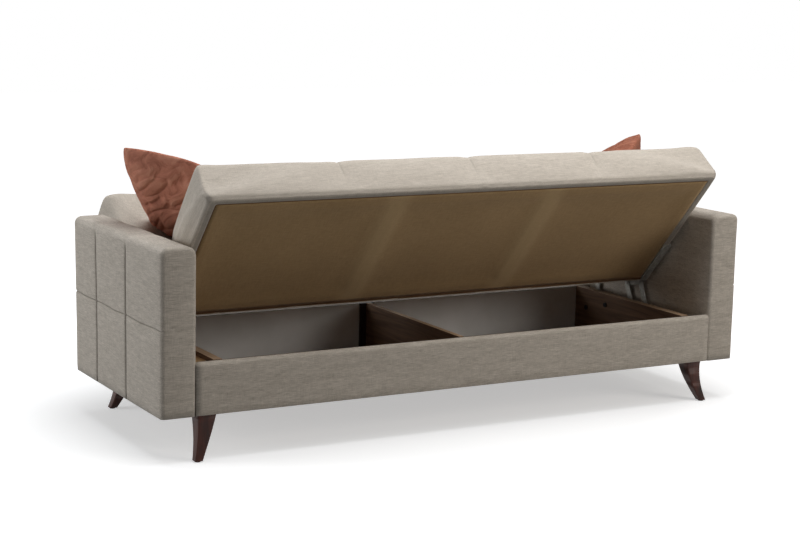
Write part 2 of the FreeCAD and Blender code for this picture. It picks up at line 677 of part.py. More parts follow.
# Panels: the seat and the back are each a timber ladder frame in a channelled cushion
def panel_profile(x, front, rear, inset, crown):
    """One cross-section of a panel's cushion, drawn in a flat panel from its hinge."""
    low = value("0 - panel_drop")
    high = value("hinge_drop") - inset
    corner = value("panel_edge_radius")
    near, far = front + inset, rear - inset
    bend = corner * (1 - math.sqrt(0.5))
    a = Vector(x, near, low)
    b = Vector(x, near, high - corner)
    b_mid = Vector(x, near + bend, high - bend)
    c = Vector(x, near + corner, high)
    c_mid = Vector(x, (near + far) / 2, high + crown)
    d = Vector(x, far - corner, high)
    d_mid = Vector(x, far - bend, high - bend)
    e = Vector(x, far, high - corner)
    f = Vector(x, far, low)
    edges = [
        Part.LineSegment(a, b).toShape(),
        Part.Arc(b, b_mid, c).toShape(),
        Part.Arc(c, c_mid, d).toShape(),
        Part.Arc(d, d_mid, e).toShape(),
        Part.LineSegment(e, f).toShape(),
        Part.LineSegment(f, a).toShape(),
    ]
    return Part.Wire(edges)


END_STEPS = (90, 60, 30)


def panel_stations(front, rear):
    """The cross-sections from the right end to the left, with a dip at each sewn channel."""
    side = value("panel_side")
    end_radius = value("panel_end_radius")
    crown = value("crown")
    seam_crown = value("crown_at_seam")
    dip = value("channel_depth")
    soft = value("channel_half_width")
    count = int(value("channel_count"))
    inner = side - end_radius
    stations = []
    for angle in END_STEPS:
        share = math.radians(angle)
        x = inner + end_radius * math.sin(share)
        inset = end_radius * (1 - math.cos(share))
        stations.append((-x, inset, seam_crown))
    pitch = 2 * side / count
    for channel in range(count):
        start = -side + channel * pitch
        if channel > 0:
            stations.append((start, dip, seam_crown))
        first = start + soft if channel > 0 else -inner
        last = start + pitch - soft if channel < count - 1 else inner
        stations.append((first, 0.0, crown / 3))
        stations.append((start + pitch / 2, 0.0, crown))
        stations.append((last, 0.0, crown / 3))
    for angle in reversed(END_STEPS):
        share = math.radians(angle)
        x = inner + end_radius * math.sin(share)
        inset = end_radius * (1 - math.cos(share))
        stations.append((x, inset, seam_crown))
    return [panel_profile(x, front, rear, inset, crown_here) for x, inset, crown_here in stations]


def screw_rows(panel, places):
    """Wood screws through a side plate into the frame's end timber, on both sides."""
    screws = []
    for side_name, side in SIDES:
        for number, (y, z) in enumerate(places, start=1):
            screws.append(rod(f"{panel}_screw_{side_name}_{number}", side,
                              "panel_side + plate_thickness - screw_length",
                              "panel_side + plate_thickness", y, z, "screw_radius", panel))
    return screws


def upholstered_panel(panel, front, rear, lining_front, lining_rear, screws):
    """The frame, the cushion and the lining of the seat or the back."""
    timber_front = f"{front} + timber_inset"
    timber_rear = f"{rear} - timber_inset - panel_edge_radius / 2"
    blank = board(f"{panel}_frame_blank", "0 - timber_side", "timber_side", timber_front,
                  timber_rear, "timber_low", "timber_high", panel)
    edges = ["0 - timber_side", "0 - strut_place", "strut_place", "timber_side"]
    bays = []
    for number in range(3):
        left_edge = f"{edges[number]} + strut_width" if number == 0 else (
            f"{edges[number]} + strut_width / 2")
        right_edge = f"{edges[number + 1]} - strut_width" if number == 2 else (
            f"{edges[number + 1]} - strut_width / 2")
        bays.append(board(f"{panel}_bay_{number}", left_edge, right_edge,
                          f"{timber_front} + timber_width", f"{timber_rear} - timber_width",
                          "timber_low", "timber_high", panel))
    frame = keep(cut(f"{panel}_frame_cut", blank, bays + screws), f"{panel}_frame")
    lining = board(f"{panel}_lining_sheet", "lining_border - panel_side",
                   "panel_side - lining_border", lining_front, lining_rear, "lining_low",
                   "lining_low + lining_thickness", panel)
    keep(lining, f"{panel}_lining")
    padding = doc.addObject("Part::Feature", f"{panel}_padding")
    padding.Shape = Part.makeLoft(panel_stations(value(front), value(rear)), True, True)
    place_on_panel(padding, panel, "0", "0", "0")
    keep(cut(f"{panel}_cushion_cut", padding, [frame, lining] + screws), f"{panel}_cushion")


SEAT_SCREWS = (
    ("seat_plate_y + plate_rim", "seat_plate_z"),
    ("stay_y - 3 * plate_rim", "timber_high - timber_thickness / 2"),
)
BACK_SCREWS = (
    ("back_flange_start + 2 * plate_rim", "timber_high - timber_thickness / 2"),
    ("back_leaf_end - plate_rim", "timber_high - timber_thickness / 2"),
)
seat_screws = screw_rows("seat", SEAT_SCREWS)
back_screws = screw_rows("back", BACK_SCREWS)
keep(group("seat_screw_set", seat_screws), "seat_plate_screws")
keep(group("back_screw_set", back_screws), "back_plate_screws")
upholstered_panel("seat", "0 - seat_reach", "0 - seat_hinge_gap",
                  "lining_border - seat_reach", "0 - seat_hinge_gap - lining_border", seat_screws)
upholstered_panel("back", "back_hinge_gap", "back_reach",
                  "back_hinge_gap + timber_inset + bolt_head_thickness",
                  "back_reach - lining_border", back_screws)

# Seat plates: the seat's half of the hinge, with the lug that the stay link meets
for side_name, side in SIDES:
    corners = (("0", "0"), ("stay_y", "stay_z"), ("seat_plate_y", "seat_plate_z"))
    holes = [("0", "0", "hole_radius"), ("stay_y", "stay_z", "pin_radius")]
    holes += [(y, z, "screw_radius") for y, z in SEAT_SCREWS]
    seat_plate = plate(f"seat_plate_{side_name}_blank", corners, "plate_rim", holes)
    place_on_panel(seat_plate, "seat", on_side(side, "panel_side", "plate_thickness"), "0", "0")
    keep(seat_plate, f"seat_plate_{side_name}")

# Back plates: an angle iron on the back's lower corner with a joggled arm to the hinge pin
for side_name, side in SIDES:
    arm = link_bar(f"back_arm_{side_name}", "sqrt(joggle_y ^ 2 + joggle_z ^ 2)",
                   "link_half_width", "screw_radius")
    arm_angle = "back_angle + atan(joggle_z / joggle_y) / 1 deg"
    place(arm, on_side(side, "back_layer", "plate_thickness"), "hinge_y", "hinge_z", arm_angle)
    joggle = rod(f"back_joggle_{side_name}", side, "panel_side", "back_layer + plate_thickness",
                 "joggle_y", "joggle_z", "pin_head_radius", "back")
    x0 = on_side(side, "panel_side", "plate_thickness")
    flange = board(f"back_flange_{side_name}", x0, f"{x0} + plate_thickness",
                   "back_flange_start", "back_leaf_end", "0 - panel_drop - plate_thickness",
                   "back_flange_width - panel_drop", "back")
    leaf_width = "back_leaf_width + plate_thickness"
    x0 = on_side(side, "panel_side - back_leaf_width", leaf_width)
    leaf = board(f"back_leaf_{side_name}", x0, f"{x0} + {leaf_width}",
                 "back_flange_start", "back_leaf_end", "0 - panel_drop - plate_thickness",
                 "0 - panel_drop", "back")
    toe_x = on_side(side, "panel_side - back_leaf_width", "back_leaf_width")
    toe = board(f"back_toe_{side_name}", toe_x, f"{toe_x} + back_leaf_width",
                "back_hinge_gap + timber_inset", "back_leaf_end",
                "0 - panel_drop - plate_thickness", "0 - panel_drop", "back")
    solid = fuse(f"back_angle_{side_name}", [arm, joggle, flange, leaf, toe])
    tools = [screw for screw in back_screws if side_name in screw.Name]
    keep(cut(f"back_plate_{side_name}_cut", solid, tools), f"back_plate_{side_name}")


# Pillows: loose square cushions with drawn-in sides, leaning between an arm and the back
def pillow_shape():
    """A square cushion in its own plane, thick in the middle and thin at its seams."""
    half = value("pillow_side") / 2
    middle = value("pillow_thickness") / 2
    seam = value("pillow_seam") / 2
    draw = value("pillow_draw")
    wires = []
    for share in (-1.0, -0.94, -0.78, -0.5, 0.0, 0.5, 0.78, 0.94, 1.0):
        fullness = math.sqrt(max(0.0, 1 - share ** 2)) ** 1.3
        rise = seam + (middle - seam) * fullness + seam / 4
        side = half - draw * (1 - share ** 2)
        x = share * (half - seam / 2)
        low_left = Vector(x, -side, -seam)
        low_right = Vector(x, side, -seam)
        high_right = Vector(x, side, seam)
        high_left = Vector(x, -side, seam)
        edges = [
            Part.Arc(low_left, Vector(x, 0, -rise), low_right).toShape(),
            Part.LineSegment(low_right, high_right).toShape(),
            Part.Arc(high_right, Vector(x, 0, rise), high_left).toShape(),
            Part.LineSegment(high_left, low_left).toShape(),
        ]
        wires.append(Part.Wire(edges))
    return Part.makeLoft(wires, True, False)


# How the left pillow lies: the directions of two of its sides. The right one mirrors it.
PILLOW_ALONG = Vector(-0.6381, 0.7355, -0.2275)
PILLOW_DOWN = Vector(-0.4475, -0.5948, -0.6677)
for side_name, side in SIDES:
    along = Vector(side * PILLOW_ALONG.x, PILLOW_ALONG.y, PILLOW_ALONG.z)
    down = Vector(side * PILLOW_DOWN.x, PILLOW_DOWN.y, PILLOW_DOWN.z)
    pillow = doc.addObject("Part::Feature", f"pillow_{side_name}_body")
    pillow.Shape = pillow_shape()
    turn = Rotation(along, down, along.cross(down), "XYZ")
    x = value(f"{side} * (panel_side - pillow_{side_name}_inset)")
    y = value(f"hinge_y - pillow_{side_name}_forward")
    z = value(f"hinge_z + pillow_{side_name}_rise")
    pillow.Placement = Placement(Vector(x, y, z), turn)
    keep(pillow, f"pillow_{side_name}")

doc.recompute()

# Checks before anything is written
for thing in doc.Objects:
    if {"Invalid", "Error"} & set(thing.State):
        raise RuntimeError(f"{thing.Name} failed: {thing.State}")
for label, thing in nodes.items():
    shape = thing.Shape
    if shape.isNull() or not shape.isValid() or not shape.Solids:
        raise RuntimeError(f"{label} has no valid solid")

os.makedirs("parts", exist_ok=True)
for label, thing in nodes.items():
    thing.Shape.exportStep(f"parts/{label}.step")
print(len(nodes), "parts written")
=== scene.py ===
import math

import bmesh
import bpy
from mathutils import Matrix, Vector, noise


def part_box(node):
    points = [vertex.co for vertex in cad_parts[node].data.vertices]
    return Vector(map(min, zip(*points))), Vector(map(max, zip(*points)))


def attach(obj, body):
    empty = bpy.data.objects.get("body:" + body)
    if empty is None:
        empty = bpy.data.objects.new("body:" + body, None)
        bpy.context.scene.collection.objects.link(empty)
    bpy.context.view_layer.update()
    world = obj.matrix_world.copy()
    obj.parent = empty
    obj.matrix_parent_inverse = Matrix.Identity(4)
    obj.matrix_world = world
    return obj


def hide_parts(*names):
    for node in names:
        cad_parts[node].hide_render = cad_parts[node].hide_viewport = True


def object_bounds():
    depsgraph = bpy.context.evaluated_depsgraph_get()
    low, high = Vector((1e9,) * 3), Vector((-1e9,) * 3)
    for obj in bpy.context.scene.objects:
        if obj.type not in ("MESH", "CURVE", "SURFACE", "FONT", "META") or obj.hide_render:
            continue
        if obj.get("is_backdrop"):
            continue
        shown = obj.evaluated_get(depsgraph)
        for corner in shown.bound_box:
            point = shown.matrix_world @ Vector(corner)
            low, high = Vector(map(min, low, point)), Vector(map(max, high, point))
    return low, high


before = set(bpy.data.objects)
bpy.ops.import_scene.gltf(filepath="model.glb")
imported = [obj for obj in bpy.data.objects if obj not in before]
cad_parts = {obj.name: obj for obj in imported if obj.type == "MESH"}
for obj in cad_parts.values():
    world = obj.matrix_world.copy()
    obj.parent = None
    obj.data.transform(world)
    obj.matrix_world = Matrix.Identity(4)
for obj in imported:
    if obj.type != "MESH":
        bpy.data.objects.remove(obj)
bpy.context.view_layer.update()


# Legs
# Four sabre legs of hardwood, stained espresso and thinly lacquered.
# Each one turns out towards its corner and hangs on a bolt under a corner block.
def paint(red, green, blue):
    """A colour as it is seen, from 0 to 255, in Blender's own numbers."""
    shares = [level / 255 for level in (red, green, blue)]
    return tuple(((share + 0.055) / 1.055) ** 2.4 for share in shares) + (1.0,)


class Wire:
    """A socket of a material, so that shader sums read as ordinary sums."""

    def __init__(self, finish, socket):
        self.finish = finish
        self.socket = socket

    def __add__(self, other):
        return self.finish.sum("ADD", self, other)

    def __sub__(self, other):
        return self.finish.sum("SUBTRACT", self, other)

    def __rsub__(self, other):
        return self.finish.sum("SUBTRACT", other, self)

    def __mul__(self, other):
        return self.finish.sum("MULTIPLY", self, other)

    def __truediv__(self, other):
        return self.finish.sum("DIVIDE", self, other)

    __radd__ = __add__
    __rmul__ = __mul__


class Finish:
    """A material, with one method that adds a node to it."""

    def __init__(self, name, **constants):
        self.material = bpy.data.materials.new(name)
        self.material.use_nodes = True
        self.tree = self.material.node_tree
        self.shader = self.tree.nodes["Principled BSDF"]
        for socket, level in constants.items():
            self.shader.inputs[socket.replace("_", " ")].default_value = level

    def feed(self, target, source):
        if isinstance(source, Wire):
            self.tree.links.new(source.socket, target)
        else:
            target.default_value = source

    def add(self, kind, settings=None, sockets=None, out=0):
        node = self.tree.nodes.new(kind)
        for name, setting in (settings or {}).items():
            if name == "stops":
                ramp = node.color_ramp.elements
                while len(ramp) < len(setting):
                    ramp.new(0.5)
                for stop, (place, colour) in zip(ramp, setting):
                    stop.position = place
                    stop.color = colour
            else:
                setattr(node, name, setting)
        for place, source in (sockets or {}).items():
            self.feed(node.inputs[place], source)
        return Wire(self, node.outputs[out])

    def sum(self, operation, first, second):
        return self.add("ShaderNodeMath", {"operation": operation}, {0: first, 1: second})

    def show(self, socket, wire):
        self.feed(self.shader.inputs[socket], wire)

    def place(self, turn=(0, 0, 0), stretch=(1, 1, 1)):
        """The piece's own coordinates in metres, first turned and then stretched."""
        own = self.add("ShaderNodeTexCoord", out="Object")
        turned = self.add("ShaderNodeMapping", {}, {"Vector": own, "Rotation": turn})
        return self.add("ShaderNodeMapping", {}, {"Vector": turned, "Scale": stretch})

    def cloud(self, at, scale, detail=3.0, rough=0.5, bend=0.0):
        sockets = {"Vector": at, "Scale": scale, "Detail": detail, "Roughness": rough,
                   "Distortion": bend}
        return self.add("ShaderNodeTexNoise", {}, sockets)

    def split(self, at, axis):
        return self.add("ShaderNodeSeparateXYZ", {}, {0: at}, out=axis)

    def ramp(self, level, stops):
        return self.add("ShaderNodeValToRGB", {"stops": stops}, {0: level})

    def blend(self, share, first, second):
        """Mix two colours. A colour mix has its sockets at 0, 6 and 7, and its result at 2."""
        kind = {"data_type": "RGBA", "blend_type": "MIX"}
        return self.add("ShaderNodeMix", kind, {0: share, 6: first, 7: second}, out=2)

    def relief(self, height, depth, strength):
        bump = self.add("ShaderNodeBump", {}, {"Strength": strength, "Distance": depth,
                                              "Height": height})
        self.show("Normal", bump)


GRAIN_STRETCH = 0.06


def timber(name, light, dark, along, turn=(0, 0, 0), gloss=0.55, coat=0.0):
    """Planed wood, with its grain along one axis of the piece."""
    finish = Finish(name, Coat_Weight=coat, Coat_Roughness=0.3, Specular_IOR_Level=0.2)
    stretch = [1.0, 1.0, 1.0]
    stretch[along] = GRAIN_STRETCH
    at = finish.place(turn, tuple(stretch))
    rings = finish.cloud(at, scale=22.0, detail=3.0, rough=0.55, bend=1.2)
    fibres = finish.cloud(at, scale=260.0, detail=2.0, rough=0.6)
    tone = rings * 0.75 + fibres * 0.25
    middle = tuple((a + b) / 2 for a, b in zip(light, dark))
    finish.show("Base Color", finish.ramp(tone, [(0.34, dark), (0.5, middle), (0.64, light)]))
    finish.show("Roughness", gloss - 0.15 + fibres * 0.3)
    finish.relief(rings * 0.3 + fibres * 0.7, depth=0.0006, strength=0.35)
    return finish.material


def show_as(material, *names):
    """Give CAD nodes a finish. Their shapes stay as they are."""
    for name in names:
        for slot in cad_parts[name].material_slots:
            slot.material = material


def make_piece(shape, name, material):
    """Turn a finished shape into a smooth piece with its finish."""
    mesh = bpy.data.meshes.new(name)
    bmesh.ops.recalc_face_normals(shape, faces=shape.faces[:])
    shape.to_mesh(mesh)
    shape.free()
    for face in mesh.polygons:
        face.use_smooth = True
    mesh.materials.append(material)
    piece = bpy.data.objects.new(name, mesh)
    bpy.context.scene.collection.objects.link(piece)
    return piece


SIDES = (("left", 1), ("right", -1))
LEG_TOP = 0.143
GLIDE = 0.003
LEG_MIDDLE_X = 0.920
LEG_PLACES = {"front": -0.25765, "rear": 0.40235}
LEG_SPLAY = 0.048
LEG_SWEEP = 1.7
LEG_TIP_HALF = 0.0125
LEG_GROWTH = 0.0178
LEG_TAPER = 1.15
LEG_STEPS = 10
LEG_EDGE_CUT = 0.15
LEG_EDGE_ALLOWANCE = 1.02
LEG_ARRIS = 0.0012
espresso = timber("espresso_wood", paint(84, 46, 36), paint(38, 20, 16), 2, gloss=0.45, coat=0.04)
for side_name, side in SIDES:
    for end_name, end in (("front", -1), ("rear", 1)):
        leg = bmesh.new()
        bmesh.ops.create_circle(leg, cap_ends=True, segments=4, radius=1.0)
        bmesh.ops.rotate(leg, cent=(0, 0, 0), matrix=Matrix.Rotation(math.pi / 4, 3, "Z"),
                         verts=leg.verts[:])
        bmesh.ops.bevel(leg, geom=leg.verts[:], offset=LEG_EDGE_CUT, offset_type="OFFSET",
                        segments=3, profile=0.5, affect="VERTICES", material=-1)
        outline = leg.verts[:]
        corner = Vector((side, end, 0)).normalized()
        start = Vector((side * LEG_MIDDLE_X, LEG_PLACES[end_name], GLIDE))
        size = 1.0
        place = Vector((0, 0, 0))
        section = leg.faces[:]
        for step in range(LEG_STEPS + 1):
            share = step / LEG_STEPS
            out = LEG_SPLAY * (1 - share) ** LEG_SWEEP
            half = LEG_TIP_HALF + LEG_GROWTH * share ** LEG_TAPER
            radius = half * math.sqrt(2) * LEG_EDGE_ALLOWANCE
            if step:
                grown = bmesh.ops.extrude_face_region(leg, geom=section)["geom"]
                section = [part for part in grown if isinstance(part, bmesh.types.BMFace)]
                outline = [part for part in grown if isinstance(part, bmesh.types.BMVert)]
            goal = start + corner * out + Vector((0, 0, (LEG_TOP - GLIDE) * share))
            to_middle = Matrix.Translation(-place)
            bmesh.ops.scale(leg, vec=(radius / size, radius / size, 1), space=to_middle,
                            verts=outline)
            bmesh.ops.translate(leg, vec=goal - place, verts=outline)
            place, size = goal, radius
        name = f"leg_{end_name}_{side_name}"
        piece = make_piece(leg, name + "_shaped", espresso)
        rounding = piece.modifiers.new("rounding", "BEVEL")
        rounding.width = LEG_ARRIS
        rounding.segments = 2
        rounding.angle_limit = math.radians(50)
        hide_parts(name)
        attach(piece, "base")

# Glides, leg bolts and the other dark fasteners
# Black nylon glides are pressed on under the legs. The bolts and screws that hold the legs,
# the arms and the fittings are of blackened steel, machine made.
glide = Finish("black_nylon", Base_Color=paint(24, 24, 25))
mottle = glide.cloud(glide.place(), scale=900.0, detail=2.0)
glide.show("Roughness", 0.55 + mottle * 0.2)
glide.relief(mottle, depth=0.0002, strength=0.4)
show_as(glide.material, "foot_glides")

black_steel = Finish("blackened_steel", Metallic=0.85)
blotches = black_steel.cloud(black_steel.place(), scale=120.0, detail=4.0)
dark_steel_tone = [(0.35, paint(38, 36, 36)), (0.7, paint(66, 62, 60))]
black_steel.show("Base Color", black_steel.ramp(blotches, dark_steel_tone))
black_steel.show("Roughness", 0.34 + blotches * 0.25)
show_as(black_steel.material, "leg_bolts", "arm_bolts", "bracket_bolts", "seat_plate_screws",
        "back_plate_screws")

# Storage box
# Pine side boards and divider with paler top faces, battens and corner blocks; a near-black post,
# its colour partly painted shade;
# hardboard floors; pale melamine panels on the front wall. All of it is screwed and stapled.
BOX_TOP = 0.305
PALE_TOP_MARGIN = 0.0006


def board_with_paler_top(name):
    """A brown board along the sofa's depth, whose top face is paler."""
    finish = Finish(name, Specular_IOR_Level=0.2)
    at = finish.place(stretch=(1, GRAIN_STRETCH, 1))
    rings = finish.cloud(at, scale=26.0, detail=3.0, rough=0.55, bend=1.4)
    fibres = finish.cloud(at, scale=280.0, detail=2.0, rough=0.6)
    tone = rings * 0.75 + fibres * 0.25
    face = finish.ramp(tone, [(0.34, paint(88, 68, 54)), (0.64, paint(126, 100, 80))])
    edge = finish.ramp(tone, [(0.34, paint(148, 122, 98)), (0.64, paint(180, 153, 126))])
    height = finish.split(finish.add("ShaderNodeTexCoord", out="Object"), "Z")
    top = finish.sum("GREATER_THAN", height, BOX_TOP - PALE_TOP_MARGIN)
    finish.show("Base Color", finish.blend(top, face, edge))
    finish.show("Roughness", 0.55 + fibres * 0.25)
    finish.relief(rings * 0.3 + fibres * 0.7, depth=0.0006, strength=0.4)
    return finish.material


show_as(board_with_paler_top("side_board_pine"), "side_board_left", "side_board_right", "centre_divider")
show_as(timber("front_board_pine", paint(112, 88, 70), paint(78, 60, 48), 0), "box_front_board")
PINE_SHADES = (paint(206, 172, 130), paint(160, 122, 84))
pine_along_depth = timber("batten_pine", *PINE_SHADES, 1)
show_as(pine_along_depth, "mechanism_batten_left", "mechanism_batten_right",
        "corner_block_front_left", "corner_block_front_right", "corner_block_rear_left",
        "corner_block_rear_right", "arm_frame_left", "arm_frame_right")
pine_along_length = timber("rail_pine", *PINE_SHADES, 0)
show_as(pine_along_length, "front_rail", "rear_rail")
# The post is near-black: its own dark stain, and painted shade of the dark gap beside the
# divider.
show_as(timber("post_wood_and_painted_shade", paint(52, 34, 29), paint(26, 15, 12), 2, gloss=0.5), "centre_post")

hardboard = Finish("brown_hardboard")
pulp = hardboard.cloud(hardboard.place(), scale=420.0, detail=5.0, rough=0.7)
patches = hardboard.cloud(hardboard.place(), scale=7.0, detail=2.0)
board_tone = pulp * 0.6 + patches * 0.4
hardboard.show("Base Color", hardboard.ramp(board_tone, [(0.35, paint(104, 76, 52)),
                                                         (0.65, paint(140, 106, 76))]))
hardboard.show("Roughness", 0.6 + pulp * 0.2)
hardboard.relief(pulp, depth=0.0003, strength=0.5)
show_as(hardboard.material, "floor_panel_left", "floor_panel_right")

melamine = Finish("pale_melamine")
haze = melamine.cloud(melamine.place(), scale=5.0, detail=3.0)
grit = melamine.cloud(melamine.place(), scale=600.0, detail=2.0)
melamine.show("Base Color", melamine.ramp(haze, [(0.3, paint(214, 214, 212)),
                                                 (0.7, paint(236, 236, 236))]))
melamine.show("Roughness", 0.36 + grit * 0.2)
melamine.relief(grit, depth=0.0002, strength=0.3)
show_as(melamine.material, "front_panel_left", "front_panel_right")

# Rails
# Boards between the arms at the front and the rear, wrapped in wadding and in the
# linen-look fabric, which is drawn over the top edge and stapled underneath.
LINEN_COLOUR = (191, 181, 168)
LINEN_STEPS = (-30, 0, 23)
LINEN_STOPS = (0.36, 0.5, 0.64)
SLUB_STRETCH = 0.05
THREAD_PITCH = 0.0021


def linen(name, turn=(0, 0, 0), level=1.0, contrast=1.0):
    """A greige linen-look weave of slubbed threads, heathered light and dark."""
    finish = Finish(name, Sheen_Weight=0.12, Sheen_Roughness=0.6, Specular_IOR_Level=0.25)
    slubs = []
    for axis in range(3):
        stretch = [1.0, 1.0, 1.0]
        stretch[axis] = SLUB_STRETCH
        at = finish.place(turn, tuple(stretch))
        slubs.append(finish.cloud(at, scale=760.0, detail=2.0, rough=0.65))
    threads = slubs[0] * 0.42 + slubs[1] * 0.38 + slubs[2] * 0.2
    drift = finish.cloud(finish.place(turn, (1, 1, 6)), scale=12.0, detail=5.0, rough=0.7)
    tone = threads * 0.82 + drift * 0.18
    # A level above 1 makes a lighter copy of the same linen, which is painted light.
    shades = []
    for step in LINEN_STEPS:
        shift = step * contrast
        shades.append(paint(*((part + shift) * level for part in LINEN_COLOUR)))
    heather = finish.ramp(tone, list(zip(LINEN_STOPS, shades)))
    # Painted shade: the "seam" attribute mixes the weave towards dark brown paint(66, 58, 50) in
    # seam grooves, channel seams and the cushions' underside border.
    painted_seam_shade = finish.add("ShaderNodeAttribute", {"attribute_name": "seam"}, {}, out="Fac")
    finish.show("Base Color", finish.blend(painted_seam_shade, heather, paint(66, 58, 50)))
    finish.show("Roughness", 0.78 + threads * 0.25)
    pitch = 2 * math.pi / THREAD_PITCH
    waves = []
    for axis in range(3):
        along = finish.split(finish.place(turn), axis)
        waves.append(finish.add("ShaderNodeMath", {"operation": "SINE"}, {0: along * pitch}))
    weave = waves[0] * waves[1] + waves[1] * waves[2] + waves[2] * waves[0]
    finish.relief(threads * 2.2 + weave * 0.12, depth=0.0007, strength=0.55)
    return finish.material


def slices(shape, axis, places):
    """Cut a shape straight across at each place, so that it can bend there."""
    normal = Vector((0, 0, 0))
    normal[axis] = 1
    for place in places:
        everything = shape.verts[:] + shape.edges[:] + shape.faces[:]
        bmesh.ops.bisect_plane(shape, geom=everything, dist=1e-6, plane_co=normal * place,
                               plane_no=normal)


def evenly(low, high, step):
    """Places between two ends, about a step apart."""
    count = max(1, round((high - low) / step))
    return [low + (high - low) * number / count for number in range(1, count)]


def block(low, high):
    """A box between two corners."""
    shape = bmesh.new()
    bmesh.ops.create_cube(shape, size=1)
    bmesh.ops.scale(shape, vec=[b - a for a, b in zip(low, high)], verts=shape.verts[:])
    bmesh.ops.translate(shape, vec=[(a + b) / 2 for a, b in zip(low, high)],
                        verts=shape.verts[:])
    return shape


def soften_edges(shape, wanted, radius, segments):
    """Round the edges whose middles are wanted."""
    chosen = [edge for edge in shape.edges if wanted((edge.verts[0].co + edge.verts[1].co) / 2)]
    bmesh.ops.bevel(shape, geom=chosen, offset=radius, offset_type="OFFSET", segments=segments,
                    profile=0.5, affect="EDGES", clamp_overlap=True, material=-1)


linen_upright = linen("greige_linen", contrast=1.6)
ARM_INNER = 0.963
RAIL_FACES = {"front_rail_cover": (-0.3027, -0.2727), "rear_rail_cover": (0.4173, 0.4473)}
RAIL_DROP = 0.0004
RAIL_ROUNDS = {"top": 0.013, "foot": 0.003}
RAIL_STEPS = {"along": 0.022, "up": 0.018}
RAIL_MARGINS = {"foot": 0.006, "top": 0.014}
RAIL_WAVE = 0.0008
RAIL_CALM = 0.004
TINY = 1e-4
NEAR_MIDDLE = 0.1
for name, (low_y, high_y) in RAIL_FACES.items():
    low = Vector((-ARM_INNER, low_y, LEG_TOP - RAIL_DROP))
    high = Vector((ARM_INNER, high_y, BOX_TOP))
    rail = block(low, high)
    soften_edges(rail, lambda at: at.z > high.z - TINY and abs(at.x) < NEAR_MIDDLE,
                 RAIL_ROUNDS["top"], 5)
    soften_edges(rail, lambda at: at.z < low.z + TINY and abs(at.x) < NEAR_MIDDLE,
                 RAIL_ROUNDS["foot"], 2)
    slices(rail, 0, evenly(low.x, high.x, RAIL_STEPS["along"]))
    slices(rail, 2, evenly(low.z + RAIL_MARGINS["foot"], high.z - RAIL_MARGINS["top"],
                           RAIL_STEPS["up"]))
    for point in rail.verts:
        ripple = noise.noise(point.co * 9) * RAIL_WAVE
        if point.co.z < high.z - RAIL_CALM and abs(point.co.x) < ARM_INNER - RAIL_CALM:
            point.co.y += ripple if point.co.y > (low_y + high_y) / 2 else -ripple
    cover = make_piece(rail, name + "_sewn", linen_upright)
    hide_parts(name)
    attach(cover, "base")

# Arms
# Padded boxes over a timber ladder. The outer face has a sewn grid of two upright
# seams and a level one, with small puckers where the upright seams end near the top.
ARM_OUTER = 1.075
ARM_TOP = 0.656
ARM_FRONT = -0.3027
ARM_REAR = 0.4473
ARM_DROP = 0.0005
ARM_CORE_INSET = 0.001
ARM_ROUNDS = {"outer": 0.024, "inner": 0.028, "upright": 0.013}
ARM_STEPS = {"across": 0.02, "deep": 0.016, "up": 0.016}
ARM_MARGINS = {"inner": 0.034, "outer": 0.036, "deep": 0.014, "foot": 0.006, "top": 0.036}
SEAMS_Y = (-0.1027, 0.1553)
SEAM_Z = 0.407
SEAM_STOP = 0.618
SEAM_END_FADE = 0.008
SEAM_DEPTH = {"upright": 0.0062, "level": 0.0034}
SEAM_WIDTH = {"upright": 0.0042, "level": 0.0016}
SEAM_WANDER = 0.0045
WANDER_REACH = 0.02
STITCHED_FACE = {"deep": 0.012, "from_rear": 0.004}
LEVEL_SEAM_SHADE = 0.6
NEAR_SEAM = (-0.018, -0.009, -0.005, -0.003, -0.0017, 0.0017, 0.003, 0.005, 0.009, 0.018)
PUFF = 0.0036
PUFF_REACH = 0.020
UNEVEN = 0.0012
PUCKER = {"depth": 0.0022, "half": 0.012, "above_stop": 0.012, "height": 0.016}
CREST_DIP = {"depth": 0.0016, "half": 0.03, "height": 0.02}
LEAN = 0.006


def bell(distance, width):
    """1 at no distance, falling to 0 over about twice the width."""
    return math.exp(-(distance / width) ** 2)


def fade_in(distance, reach):
    """0 at no distance, rising to 1 well beyond the reach."""
    return 1 - math.exp(-max(0.0, distance) / reach)


def mark_painted_shade(shape, share_at):
    """Note on every point how much painted shade it carries, in the "seam" attribute."""
    layer = shape.verts.layers.float.get("seam") or shape.verts.layers.float.new("seam")
    for point in shape.verts:
        point[layer] = share_at(point.co)


def arm_seam_shade(at):
    """The painted shade along the seams of the sewn grid, which lies on the arm's outer face
    alone.
    """
    inside = at.x < ARM_OUTER - STITCHED_FACE["deep"]
    if inside or at.y > ARM_REAR - STITCHED_FACE["from_rear"]:
        return 0.0
    share = LEVEL_SEAM_SHADE * bell(at.z - SEAM_Z, SEAM_WIDTH["level"])
    if at.z < SEAM_STOP:
        to_seam = min(abs(at.y - seam) for seam in SEAMS_Y)
        share = max(share, bell(to_seam, SEAM_WIDTH["upright"]))
    return share


